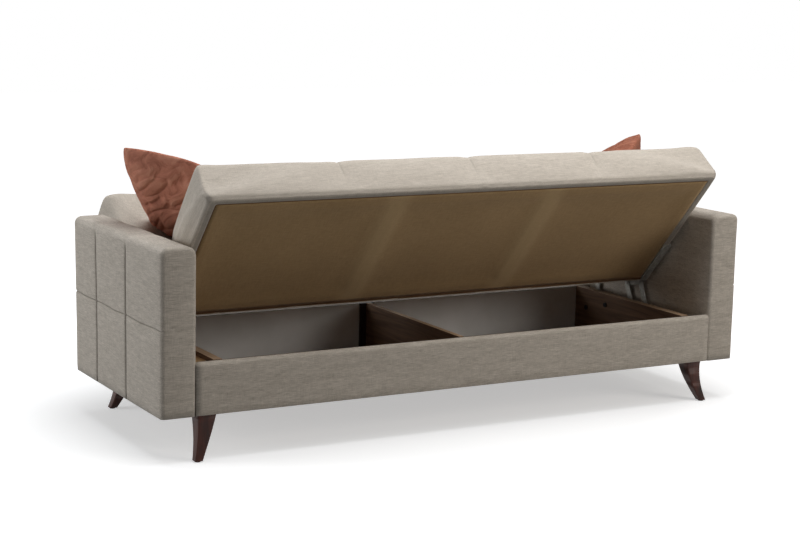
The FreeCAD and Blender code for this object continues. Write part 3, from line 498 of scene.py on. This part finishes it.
for side_name, side in SIDES:
    arm = block((ARM_INNER, ARM_FRONT, LEG_TOP - ARM_DROP),
                (ARM_OUTER - ARM_CORE_INSET, ARM_REAR, ARM_TOP))
    soften_edges(arm, lambda at: at.z > ARM_TOP - TINY and at.x > ARM_INNER + 0.1,
                 ARM_ROUNDS["outer"], 6)
    soften_edges(arm, lambda at: at.z > ARM_TOP - TINY and at.x < ARM_INNER + 0.01,
                 ARM_ROUNDS["inner"], 6)
    soften_edges(arm, lambda at: at.z > LEG_TOP + TINY and
                 (at.y < ARM_FRONT + TINY or at.y > ARM_REAR - TINY), ARM_ROUNDS["upright"], 4)
    slices(arm, 1, evenly(ARM_FRONT + ARM_MARGINS["deep"], ARM_REAR - ARM_MARGINS["deep"],
                          ARM_STEPS["deep"]))
    slices(arm, 2, evenly(LEG_TOP + ARM_MARGINS["foot"], ARM_TOP - ARM_MARGINS["top"],
                          ARM_STEPS["up"]))
    slices(arm, 0, evenly(ARM_INNER + ARM_MARGINS["inner"], ARM_OUTER - ARM_MARGINS["outer"],
                          ARM_STEPS["across"]))
    for seam in SEAMS_Y:
        slices(arm, 1, [seam + step for step in NEAR_SEAM] + [seam])
    slices(arm, 2, [SEAM_Z + step for step in NEAR_SEAM] + [SEAM_Z])
    # The seam lines of the outer face are darkened as painted shade in their grooves.
    mark_painted_shade(arm, arm_seam_shade)
    arm.normal_update()
    moves = []
    for point in arm.verts:
        at = point.co
        outward = max(0.0, point.normal.x)
        to_seam = min(abs(at.y - seam) for seam in SEAMS_Y)
        to_stop = SEAM_STOP + SEAM_END_FADE / 2 - at.z
        below = min(1.0, max(0.0, to_stop / SEAM_END_FADE))
        to_edge = min(at.y - ARM_FRONT, ARM_REAR - at.y, at.z - LEG_TOP, ARM_TOP - at.z)
        near = min(to_edge, to_seam if below > 0 else 1.0, abs(at.z - SEAM_Z))
        lift = PUFF * fade_in(near, PUFF_REACH)
        lift += noise.noise(at * 8 + Vector((side * 5, 0, 0))) * UNEVEN
        upright_seam = SEAM_DEPTH["upright"] * bell(to_seam, SEAM_WIDTH["upright"]) * below
        level_seam = SEAM_DEPTH["level"] * bell(at.z - SEAM_Z, SEAM_WIDTH["level"])
        lift -= max(upright_seam, level_seam) * outward
        top_pucker = bell(at.z - SEAM_STOP - PUCKER["above_stop"], PUCKER["height"])
        lift -= PUCKER["depth"] * bell(to_seam, PUCKER["half"]) * top_pucker * outward
        crest = bell(at.z - ARM_TOP, CREST_DIP["height"]) * bell(to_seam, CREST_DIP["half"])
        lift -= CREST_DIP["depth"] * crest
        held = at.x < ARM_INNER + TINY or at.z < LEG_TOP + TINY
        lean = LEAN * (at.x - ARM_INNER) / (ARM_OUTER - ARM_INNER)
        lean *= (at.z - LEG_TOP) / (ARM_TOP - LEG_TOP)
        lean *= (ARM_REAR - at.y) / (ARM_REAR - ARM_FRONT)
        drop = noise.noise(Vector((side * 7, at.y * 9, 2))) * SEAM_WANDER
        drop *= bell(at.z - SEAM_Z, WANDER_REACH) * outward
        move = Vector((0, 0, 0)) if held else point.normal * lift + Vector((lean, 0, drop))
        moves.append((point, move))
    for point, move in moves:
        point.co += move
        point.co.x *= side
    cover = make_piece(arm, f"arm_cover_{side_name}_sewn", linen_upright)
    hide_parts(f"arm_cover_{side_name}")
    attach(cover, "base")

# Fittings
# Brackets, links, carriers and hinge plates of zinc-plated steel, punched and riveted.
# They carry the seat and the back between the arms, and let them rise and turn.
zinc = Finish("zinc_plated_steel", Metallic=0.7)
spangle = zinc.cloud(zinc.place(), scale=90.0, detail=3.0, rough=0.6)
brushing = zinc.cloud(zinc.place(stretch=(1, 0.08, 1)), scale=700.0, detail=2.0)
zinc.show("Base Color", zinc.ramp(spangle, [(0.3, paint(132, 130, 124)),
                                            (0.7, paint(172, 170, 163))]))
zinc.show("Roughness", 0.46 + spangle * 0.14 + brushing * 0.16)
zinc.relief(brushing, depth=0.0002, strength=0.25)
show_as(zinc.material, "base_bracket_left", "base_bracket_right", "base_pivot_pins",
        "lift_link_left", "lift_link_right", "guide_link_left", "guide_link_right",
        "stay_link_left", "stay_link_right", "stay_studs", "carrier_left", "carrier_right",
        "carrier_pins", "seat_plate_left", "seat_plate_right", "back_plate_left",
        "back_plate_right")

# Seat and back
# Two long foam cushions on timber frames, each sewn into four channels. The fabric is
# drawn round the frame and stapled underneath, round a brown lining.
# Each is shaped lying flat, with its hinge line at 0, and then turned to its place.
HINGE = Vector((0, 0.0143478, 0.449))
PANELS = {
    "seat": {"turn": -28.0, "front": -0.508, "rear": -0.008, "free": -1, "plate": 0.420},
    "back": {"turn": 48.0, "front": 0.002, "rear": 0.580, "free": 1, "plate": 0.215},
}
PANEL_SIDE = 0.943
PANEL_LOW = -0.116
PANEL_HIGH = 0.014
PANEL_ROUNDS = {"crest": 0.021, "lip": 0.013, "end": 0.018}
CHANNEL_SEAMS = (-0.4715, 0.0, 0.4715)
CHANNEL_CUTS = (-0.004, -0.0018, 0, 0.0018, 0.004)
END_CUTS = (0.034, 0.0065)
VOXEL = 0.0115
PAD_INSET = {"end": 0.002, "edge": 0.003}
START_PULL = {"top": 0.004, "lip": 0.002, "half": 0.014}
SMOOTHINGS = 9
CHANNEL_SHADE = {"faces": 0.3, "band": 0.12, "half": 0.0026}
CHANNEL_SINK = {"faces": 0.0032, "less_on_band": 0.002, "half": 0.004}
BAND_DEEP = 0.02
BAND_CREASE = 0.0022
LOOSE_WAVE = 0.0009
FREE_LOFT = 0.017
END_CHANNEL_LOFT = 0.6
SIDE_SWELL = 0.0125
LIP_GIVE = 0.007
RECESS = 0.009
BORDER = 0.0335
HINGE_GROOVE = (0.009, 0.040)
UNDERSIDE = 0.0045
COVER_INSET = {"end": 0.0005, "hinge": 0.0004}
END_STRIP = {"wide": 0.0067, "below": -0.08}
# Where a change begins, and how far it takes to reach its whole: up, along and outwards
UP_FADES = {"pull": (-0.085, 0.05), "painted_shade": (-0.07, 0.05), "sink": (-0.07, 0.04),
            "loft": (-0.07, 0.07), "bulge": (PANEL_LOW, 0.045), "slim": (-0.02, 0.04)}
ALONG_FADES = {"end_channel": (0.49, 0.16), "side": (0.86, 0.07)}
OUT_FADES = {"loft": (0.1, 0.42), "plate": 0.09}


def swell(piece, held, pressure, cap, stiffness, frames=20):
    """Blow a cushion up with the cloth solver, and keep its mesh as it then is."""
    group = piece.vertex_groups.new(name="held")
    start = [point.co.copy() for point in piece.data.vertices]
    fixed = [number for number, at in enumerate(start) if held(at)]
    group.add(fixed, 1.0, "REPLACE")
    cloth = piece.modifiers.new("cloth", "CLOTH")
    cloth.settings.quality = 5
    cloth.settings.mass = 0.3
    cloth.settings.tension_stiffness = stiffness
    cloth.settings.compression_stiffness = stiffness
    cloth.settings.shear_stiffness = stiffness / 2
    cloth.settings.bending_stiffness = stiffness / 8
    cloth.settings.use_pressure = True
    cloth.settings.uniform_pressure_force = pressure
    cloth.settings.effector_weights.gravity = 0
    if fixed:
        cloth.settings.vertex_group_mass = "held"
    cloth.point_cache.frame_start = 1
    cloth.point_cache.frame_end = frames
    for number in range(1, frames + 1):
        bpy.context.scene.frame_set(number)
    solved = piece.evaluated_get(bpy.context.evaluated_depsgraph_get()).data
    ends = [point.co.copy() for point in solved.vertices]
    piece.modifiers.remove(cloth)
    piece.vertex_groups.clear()
    bpy.context.scene.frame_set(1)
    for point, before, after in zip(piece.data.vertices, start, ends):
        move = after - before
        point.co = before + move * min(1.0, cap / max(move.length, 1e-9))


def refined(piece):
    """Add one subdivision to a piece."""
    refine = piece.modifiers.new("refine", "SUBSURF")
    refine.levels = 1
    refine.render_levels = 1


def baked(piece):
    """The piece's mesh with its modifiers applied, as a shape to work on."""
    solved = piece.evaluated_get(bpy.context.evaluated_depsgraph_get())
    mesh = bpy.data.meshes.new_from_object(solved)
    shape = bmesh.new()
    shape.from_mesh(mesh)
    bpy.data.meshes.remove(mesh)
    bpy.data.objects.remove(piece)
    return shape


def ease(share):
    """0 below nothing and 1 above the whole, with a soft start and end."""
    share = min(1.0, max(0.0, share))
    return share * share * (3 - 2 * share)


def ease_from(place, start, length):
    """0 before the start, and 1 once the length is past."""
    return ease((place - start) / length)


def to_channel(at):
    """How far a point lies from the nearest channel seam."""
    return min(abs(at.x - seam) for seam in CHANNEL_SEAMS)


def stapled(at):
    """Whether a point is held: low on the frame, or in a channel seam."""
    return at.z < PANEL_LOW + 0.012 or (to_channel(at) < 0.007 and at.z > -0.07)


for panel, facts in PANELS.items():
    front, rear, free = facts["front"], facts["rear"], facts["free"]
    lip = rear if free > 0 else front
    pad = block((-PANEL_SIDE + PAD_INSET["end"], front + PAD_INSET["edge"], PANEL_LOW),
                (PANEL_SIDE - PAD_INSET["end"], rear - PAD_INSET["edge"], PANEL_HIGH))
    soften_edges(pad, lambda at: at.z > PANEL_HIGH - 0.001 and abs(at.x) < NEAR_MIDDLE,
                 PANEL_ROUNDS["crest"], 5)
    soften_edges(pad, lambda at: at.z < PANEL_LOW + 0.001 and abs(at.x) < NEAR_MIDDLE and
                 abs(at.y - lip) < 0.01, PANEL_ROUNDS["lip"], 4)
    soften_edges(pad, lambda at: at.z > PANEL_LOW + TINY and abs(at.x) > PANEL_SIDE - 0.003,
                 PANEL_ROUNDS["end"], 4)
    padding = make_piece(pad, f"{panel}_padding", linen_upright)
    remesh = padding.modifiers.new("even", "REMESH")
    remesh.mode = "VOXEL"
    remesh.voxel_size = VOXEL
    pad = baked(padding)
    for point in pad.verts:
        pull = bell(to_channel(point.co), START_PULL["half"])
        pull *= ease_from(point.co.z, *UP_FADES["pull"])
        if point.co.z > PANEL_HIGH - 0.03:
            point.co.z -= START_PULL["top"] * pull
        if abs(point.co.y - lip) < 0.03:
            point.co.y -= START_PULL["lip"] * pull * free
    padding = make_piece(pad, f"{panel}_padding", linen_upright)
    swell(padding, stapled, pressure=3.0, cap=0.010, stiffness=30.0)
    refined(padding)
    pad = baked(padding)
    loose = [point for point in pad.verts if point.co.z > PANEL_LOW + 0.02]
    for number in range(SMOOTHINGS):
        bmesh.ops.smooth_vert(pad, verts=loose, factor=0.5, use_axis_x=True, use_axis_y=True,
                              use_axis_z=True)
    for seam in CHANNEL_SEAMS:
        slices(pad, 0, [seam + cut for cut in CHANNEL_CUTS])
    for from_end in END_CUTS:
        slices(pad, 0, [-PANEL_SIDE + from_end, PANEL_SIDE - from_end])
    slices(pad, 1, [front + END_CUTS[0], rear - END_CUTS[0]])
    slices(pad, 2, [PANEL_LOW + 0.004])

    def channel_and_underside_shade(at):
        """The painted shade of the channel seams, weaker on the band along the free edge, and
        over the whole underside.
        """
        if at.z < PANEL_LOW + 0.001:
            return CHANNEL_SHADE["faces"]
        shown = CHANNEL_SHADE["faces"] if (lip - at.y) * free > 0.03 else CHANNEL_SHADE["band"]
        seam_share = bell(to_channel(at), CHANNEL_SHADE["half"])
        return shown * seam_share * ease_from(at.z, *UP_FADES["painted_shade"])

    # Painted shade: the channel seams and the underside border are darkened towards the seam
    # colour.
    mark_painted_shade(pad, channel_and_underside_shade)
    pad.normal_update()
    moves = []
    for point in pad.verts:
        at = point.co
        to_seam = to_channel(at)
        out = at.y * free
        on_band = ease((at.y - lip) * free / BAND_DEEP + 1)
        sink = CHANNEL_SINK["less_on_band"] * on_band - CHANNEL_SINK["faces"]
        move = point.normal * sink * bell(to_seam, CHANNEL_SINK["half"])
        move *= ease_from(at.z, *UP_FADES["sink"])
        if point.normal.y * free > 0.6:
            crease = noise.noise(Vector((at.x * 24, at.z * 10, 7)))
            move += point.normal * crease * BAND_CREASE * bell(to_seam, 0.05)
        move += point.normal * noise.noise(at * 6) * LOOSE_WAVE
        full = 0.82 + 0.18 * (1 - bell(to_seam, 0.07))
        in_end_channel = ease_from(abs(at.x), *ALONG_FADES["end_channel"])
        full += END_CHANNEL_LOFT * in_end_channel * ease((PANEL_SIDE - abs(at.x)) / 0.1 + 0.3)
        outward = ease_from(out, *OUT_FADES["loft"])
        move.z += FREE_LOFT * full * outward * ease_from(at.z, *UP_FADES["loft"])
        slim = 1 - 0.4 * ease_from(at.z, *UP_FADES["slim"])
        bulge = ease_from(at.z, *UP_FADES["bulge"]) * slim
        side_out = SIDE_SWELL * ease_from(out, facts["plate"], OUT_FADES["plate"]) * bulge
        move.x += math.copysign(side_out * ease_from(abs(at.x), *ALONG_FADES["side"]), at.x)
        moves.append((point, move, side_out))
    for point, move, side_out in moves:
        at = point.co + move
        reach = PANEL_SIDE - COVER_INSET["end"] + side_out
        at_end = abs(point.co.x) > PANEL_SIDE - END_STRIP["wide"]
        low_side = at_end and at.z < END_STRIP["below"]
        at.x = math.copysign(reach if low_side else min(abs(at.x), reach), at.x)
        over = (at.y - lip) * free
        if over > 0:
            at.y = lip + free * LIP_GIVE * fade_in(over, LIP_GIVE)
        if free > 0:
            at.y = max(at.y, front + COVER_INSET["hinge"])
        else:
            at.y = min(at.y, rear - COVER_INSET["hinge"])
        if at.z < PANEL_LOW + UNDERSIDE:
            at.z = PANEL_LOW
            border = min(PANEL_SIDE - abs(at.x), at.y - front, rear - at.y)
            hinge_side = at.y - front if free > 0 else rear - at.y
            if border > BORDER or HINGE_GROOVE[0] < hinge_side < HINGE_GROOVE[1]:
                at.z = PANEL_LOW + RECESS
        point.co = at
    bmesh.ops.rotate(pad, cent=(0, 0, 0), verts=pad.verts[:],
                     matrix=Matrix.Rotation(math.radians(facts["turn"]), 3, "X"))
    bmesh.ops.translate(pad, vec=HINGE, verts=pad.verts[:])
    angle = math.radians(-facts["turn"])
    # The seat and back get a copy of the linen 3 percent lighter than the arms and rails: painted
    # light.
    lighter_linen_copy = linen(f"greige_linen_{panel}", (angle, 0, 0), 1.03)
    cover = make_piece(pad, f"{panel}_cushion_sewn", lighter_linen_copy)
    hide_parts(f"{panel}_cushion")
    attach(cover, panel)
    frame_pine = timber(f"{panel}_frame_pine", paint(146, 112, 78), paint(108, 80, 54), 0,
                        (angle, 0, 0))
    show_as(frame_pine, f"{panel}_frame")

# Linings
# A brown cotton lining under the seat and the back, stapled to the frame's edge and
# drawn tight over its two struts, so that it sinks a little between them.
STRUT_X = 0.29
STRUT_HALF = 0.0225
LININGS = {"seat": (-0.476, -0.040, -0.448, -0.080), "back": (0.024, 0.548, 0.062, 0.508)}
LINING_HALF = 0.911
OPENING_HALF = 0.883
LINING_SINK = 0.007
LINING_REACH = 0.035
LINING_WAVE = 0.001
lining_cloth = Finish("brown_lining", Sheen_Weight=0.1, Specular_IOR_Level=0.2)
weft = lining_cloth.cloud(lining_cloth.place(stretch=(1, 0.08, 0.08)), scale=500.0, detail=2.0)
warp = lining_cloth.cloud(lining_cloth.place(stretch=(0.08, 1, 1)), scale=500.0, detail=2.0)
stain = lining_cloth.cloud(lining_cloth.place(), scale=3.0, detail=3.0)
lining_tone = weft * 0.35 + warp * 0.35 + stain * 0.3
plain = lining_cloth.ramp(lining_tone, [(0.36, paint(155, 126, 87)),
                                        (0.62, paint(178, 147, 106))])
# Painted highlight: the lining is made lighter, towards paint(206, 178, 134), along the ridges
# where it is drawn over the two struts.
across = lining_cloth.split(lining_cloth.place(), "X")
from_middle = lining_cloth.add("ShaderNodeMath", {"operation": "ABSOLUTE"}, {0: across})
past_strut = from_middle - STRUT_X
to_strut_ridge = lining_cloth.add("ShaderNodeMath", {"operation": "ABSOLUTE"}, {0: past_strut})
painted_ridge_highlight = lining_cloth.ramp(to_strut_ridge * 12, [(0.2, (0.32, 0.32, 0.32, 1)), (0.75, (0, 0, 0, 1))])
lining_cloth.show("Base Color", lining_cloth.blend(painted_ridge_highlight, plain, paint(206, 178, 134)))
lining_cloth.show("Roughness", 0.8 + weft * 0.15)
lining_cloth.relief(weft + warp, depth=0.0003, strength=0.4)
for panel, (near, far, bay_near, bay_far) in LININGS.items():
    cloth = bmesh.new()
    bmesh.ops.create_grid(cloth, x_segments=150, y_segments=44, size=1)
    bmesh.ops.scale(cloth, vec=(LINING_HALF, (far - near) / 2, 1), verts=cloth.verts[:])
    bmesh.ops.translate(cloth, vec=(0, (near + far) / 2, PANEL_LOW + 0.0008),
                        verts=cloth.verts[:])
    for point in cloth.verts:
        at = point.co
        to_timber = min(OPENING_HALF - abs(at.x), at.y - bay_near, bay_far - at.y,
                        min(abs(at.x - strut) for strut in (-STRUT_X, STRUT_X)) - STRUT_HALF)
        slack = fade_in(to_timber, LINING_REACH)
        at.z += LINING_SINK * slack + noise.noise(at * 10) * LINING_WAVE * slack
    bmesh.ops.rotate(cloth, cent=(0, 0, 0), verts=cloth.verts[:],
                     matrix=Matrix.Rotation(math.radians(PANELS[panel]["turn"]), 3, "X"))
    bmesh.ops.translate(cloth, vec=HINGE, verts=cloth.verts[:])
    lining = make_piece(cloth, f"{panel}_lining_cloth", lining_cloth.material)
    thick = lining.modifiers.new("thickness", "SOLIDIFY")
    thick.thickness = 0.0009
    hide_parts(f"{panel}_lining")
    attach(lining, panel)
    far - near


# Pillows
# Two loose square cushions of crushed rust velvet, filled with fibre and closed by a
# seam round the edge. They lie between the seat and the back, at the two ends.
def crushed_velvet(name, dark, middle, light):
    """Velvet whose pile lies in clouds, one way and the other."""
    velvet = Finish(name, Sheen_Weight=0.55, Sheen_Roughness=0.35, Specular_IOR_Level=0.2,
                    Sheen_Tint=paint(214, 146, 116))
    crush = velvet.cloud(velvet.place((-0.378, 0, 0), (1, 0.35, 1)), scale=26.0, detail=5.0,
                         rough=0.62, bend=0.7)
    pile = velvet.cloud(velvet.place(), scale=900.0, detail=2.0, rough=0.6)
    tone = crush * 0.8 + pile * 0.2
    velvet.show("Base Color", velvet.ramp(tone, [(0.34, dark), (0.5, middle), (0.66, light)]))
    velvet.show("Roughness", 0.62 + pile * 0.3)
    velvet.relief(crush * 4 + pile * 0.3, depth=0.005, strength=0.6)
    return velvet.material


# The two pillows are of one velvet: the left one has lighter shades as painted light and the
# right one darker shades as painted shade.
LIT_AND_SHADED_VELVETS = {"left": crushed_velvet("rust_velvet", paint(154, 95, 75), paint(190, 123, 99),
                                  paint(211, 150, 124)),
           "right": crushed_velvet("rust_velvet_painted_shade", paint(122, 70, 52), paint(150, 90, 68),
                                   paint(170, 110, 87))}
PILLOW_SIDE = 0.430
PILLOW_THICK = 0.120
PILLOW_EDGE = 0.004
PILLOW_STEP = 0.0085
CROWN = {"rise": 0.05, "roundness": 0.42, "lumps": 0.004}
DRAW_OUT = 0.14
CORNER_REACH = 0.95
SUNK_SIDE = 0.6
FULL_SIDE = 1.1
EDGE_BOW = 0.05
FOLD_SLOPE = 1.2
FOLD_SCALE = 1.56
FOLD_DEPTH = 0.008
TIP_REACH = 0.28
PILLOW_ALONG = Vector((-0.6381, 0.7355, -0.2275))
PILLOW_DOWN = Vector((-0.4475, -0.5948, -0.6677))
TIP_SINKS = {"left": Vector((0.0105, -0.0059, 0.0)),
             "right": Vector((-0.0172, 0.0123, -0.0160))}
half = PILLOW_SIDE / 2


def from_edge(across_edge):
    """1 in the middle of a side and 0 at its two ends."""
    return max(0.0, 1 - (across_edge / half) ** 2)


for side_name, side in SIDES:
    shape = block((-half, -half, -PILLOW_EDGE), (half, half, PILLOW_EDGE))
    for axis in (0, 1):
        slices(shape, axis, evenly(-half, half, PILLOW_STEP))
    for point in shape.verts:
        reach = max(0.0, (1 - (point.co.x / half) ** 2) * (1 - (point.co.y / half) ** 2))
        rise = CROWN["rise"] * reach ** CROWN["roundness"]
        rise += noise.noise(point.co * 18 + Vector((0, 0, side * 3))) * CROWN["lumps"] * reach
        point.co.z += rise if point.co.z > 0 else -rise
        draw = Vector((point.co.x * (1 - (point.co.y / half) ** 2),
                       point.co.y * (1 - (point.co.x / half) ** 2), 0))
        point.co += draw * DRAW_OUT
    pillow = make_piece(shape, f"pillow_{side_name}_stuffing", LIT_AND_SHADED_VELVETS[side_name])
    swell(pillow, lambda at: False, pressure=6.0, cap=0.028, stiffness=14.0)
    refined(pillow)
    shape = baked(pillow)
    corner = max(abs(point.co.x) + abs(point.co.y) for point in shape.verts) / 2
    thickest = max(abs(point.co.z) for point in shape.verts)
    fit = CORNER_REACH * half / corner
    bmesh.ops.scale(shape, vec=(fit, fit, PILLOW_THICK / 2 / thickest), verts=shape.verts[:])
    for point in shape.verts:
        point.co.z *= SUNK_SIDE if point.co.z * side > 0 else FULL_SIDE
        bow_x = point.co.x * from_edge(point.co.y)
        bow_y = point.co.y * from_edge(point.co.x)
        point.co += Vector((bow_x, bow_y, 0)) * EDGE_BOW
    shape.normal_update()
    sinks = []
    tips = []
    for point in shape.verts:
        reach = 1 - max(abs(point.co.x), abs(point.co.y)) / half
        along_fold = (point.co.x - FOLD_SLOPE * point.co.y) / FOLD_SCALE
        across_fold = (FOLD_SLOPE * point.co.x + point.co.y) / FOLD_SCALE
        across_fold += noise.noise(Vector((along_fold * 9, across_fold * 9, side))) * 0.03
        narrow = abs(noise.noise(Vector((along_fold * 5, across_fold * 24, side * 2))))
        broad = noise.noise(Vector((along_fold * 4, across_fold * 13, side * 2 + 4)))
        crease = FOLD_DEPTH * math.exp(-narrow * 9) + FOLD_DEPTH * broad
        sinks.append(-point.normal * (crease * ease(reach * 3)))
        from_tip = math.hypot(point.co.x + half, point.co.y + half)
        tips.append(ease(1 - from_tip / TIP_REACH))
    for point, sink in zip(shape.verts, sinks):
        point.co += sink
    along = Vector((side * PILLOW_ALONG.x, PILLOW_ALONG.y, PILLOW_ALONG.z)).normalized()
    down = Vector((side * PILLOW_DOWN.x, PILLOW_DOWN.y, PILLOW_DOWN.z))
    across = along.cross(down).normalized()
    down = across.cross(along)
    low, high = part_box(f"pillow_{side_name}")
    turn = Matrix((along, down, across)).transposed()
    bmesh.ops.rotate(shape, cent=(0, 0, 0), matrix=turn, verts=shape.verts[:])
    bmesh.ops.translate(shape, vec=(low + high) / 2, verts=shape.verts[:])
    for point, share in zip(shape.verts, tips):
        point.co += TIP_SINKS[side_name] * share
    pillow = make_piece(shape, f"pillow_{side_name}_velvet", LIT_AND_SHADED_VELVETS[side_name])
    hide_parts(f"pillow_{side_name}")
    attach(pillow, "seat")

# Studio
# A white floor and a white surround, which keep the sofa's soft grey shadow, and four
# softboxes: one overhead, one above the rear, one beside an arm and one beside the camera.
FLOOR_HALF = 14
ROOM_LIGHT = 0.05
BACKGROUND_RAYS = ("Is Camera Ray", "Is Glossy Ray", "Is Transmission Ray")
floor_shape = bmesh.new()
bmesh.ops.create_grid(floor_shape, x_segments=1, y_segments=1, size=FLOOR_HALF)
ground = Finish("studio_floor", Roughness=1.0, Specular_IOR_Level=0.0, Emission_Strength=1.0)
rays = ground.tree.nodes.new("ShaderNodeLightPath")
shown = Wire(ground, rays.outputs[BACKGROUND_RAYS[0]])
for kind in BACKGROUND_RAYS[1:]:
    shown = ground.sum("MAXIMUM", shown, Wire(ground, rays.outputs[kind]))
ground.show("Base Color", ground.blend(shown, (0.30, 0.30, 0.30, 1), (0.80, 0.80, 0.80, 1)))
round_sofa = ground.add("ShaderNodeVectorMath", {"operation": "LENGTH"},
                        {0: ground.place(stretch=(0.7, 1.0, 1.0))}, out="Value")
away = ground.ramp(round_sofa / 4, [(0.18, (0.46, 0.46, 0.46, 1)), (0.38, (1, 1, 1, 1))])
ground.show("Emission Color", ground.blend(shown, (0, 0, 0, 1), away))
floor = make_piece(floor_shape, "studio_floor", ground.material)
floor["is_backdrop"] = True

world = bpy.data.worlds.new("studio")
world.use_nodes = True
bpy.context.scene.world = world
air = world.node_tree
background = air.nodes["Background"]
rays = air.nodes.new("ShaderNodeLightPath")
shown = rays.outputs[BACKGROUND_RAYS[0]]
for kind in BACKGROUND_RAYS[1:]:
    either = air.nodes.new("ShaderNodeMath")
    either.operation = "MAXIMUM"
    air.links.new(shown, either.inputs[0])
    air.links.new(rays.outputs[kind], either.inputs[1])
    shown = either.outputs[0]
level = air.nodes.new("ShaderNodeMapRange")
air.links.new(shown, level.inputs["Value"])
level.inputs["To Min"].default_value = ROOM_LIGHT
level.inputs["To Max"].default_value = 1.0
air.links.new(level.outputs[0], background.inputs["Strength"])
background.inputs["Color"].default_value = (1, 1, 1, 1)


def softbox(name, at, goal, width, depth, power, colour=(1, 1, 1)):
    """A rectangular lamp that looks towards a goal."""
    lamp = bpy.data.lights.new(name, "AREA")
    lamp.color = colour
    lamp.shape = "RECTANGLE"
    lamp.size = width
    lamp.size_y = depth
    lamp.energy = power
    holder = bpy.data.objects.new(name, lamp)
    holder.location = at
    holder.rotation_euler = (Vector(goal) - Vector(at)).to_track_quat("-Z", "Y").to_euler()
    bpy.context.scene.collection.objects.link(holder)


softbox("overhead", at=(0.0, 0.1, 3.4), goal=(0, 0.0, 0.4), width=3.4, depth=2.4, power=82,
        colour=(0.95, 0.97, 1.0))
softbox("overhead_behind", at=(-0.9, 1.4, 3.2), goal=(0, 0.1, 0.4), width=3.0, depth=2.4,
        power=24)
softbox("beside_arm", at=(4.2, -1.2, 1.0), goal=(1.0, 0, 0.45), width=2.2, depth=1.5, power=58,
        colour=(0.94, 0.97, 1.0))
softbox("beside_camera", at=(-3.4, 4.2, 2.2), goal=(0, 0.2, 0.4), width=2.4, depth=2.0, power=78,
        colour=(1.0, 0.96, 0.90))

# Camera
# It stands behind the sofa, a little above it, where the photograph was taken from.
CAMERA_AT = Vector((3.0268, 5.3246, 1.4893))
YAW = 0.5134
PITCH = 0.1654
ROLL = 0.0226
FOCAL_PIXELS = 1812.98
PHOTO_WIDTH = 800
SENSOR_WIDTH = 36
ahead = Vector((-math.sin(YAW) * math.cos(PITCH), -math.cos(YAW) * math.cos(PITCH),
                -math.sin(PITCH)))
right = ahead.cross(Vector((0, 0, 1))).normalized()
up = right.cross(ahead)
rolled_right = right * math.cos(ROLL) + up * math.sin(ROLL)
rolled_up = up * math.cos(ROLL) - right * math.sin(ROLL)
lens = bpy.data.cameras.new("camera")
lens.lens = FOCAL_PIXELS * SENSOR_WIDTH / PHOTO_WIDTH
lens.sensor_width = SENSOR_WIDTH
camera = bpy.data.objects.new("camera", lens)
camera.matrix_world = (Matrix.Translation(CAMERA_AT) @
                       Matrix((rolled_right, rolled_up, -ahead)).transposed().to_4x4())
bpy.context.scene.collection.objects.link(camera)
bpy.context.scene.camera = camera
bpy.context.scene.view_settings.view_transform = "Standard"

# Sizes: the bounds of all that is shown, without the backdrop
bpy.context.view_layer.update()
low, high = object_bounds()
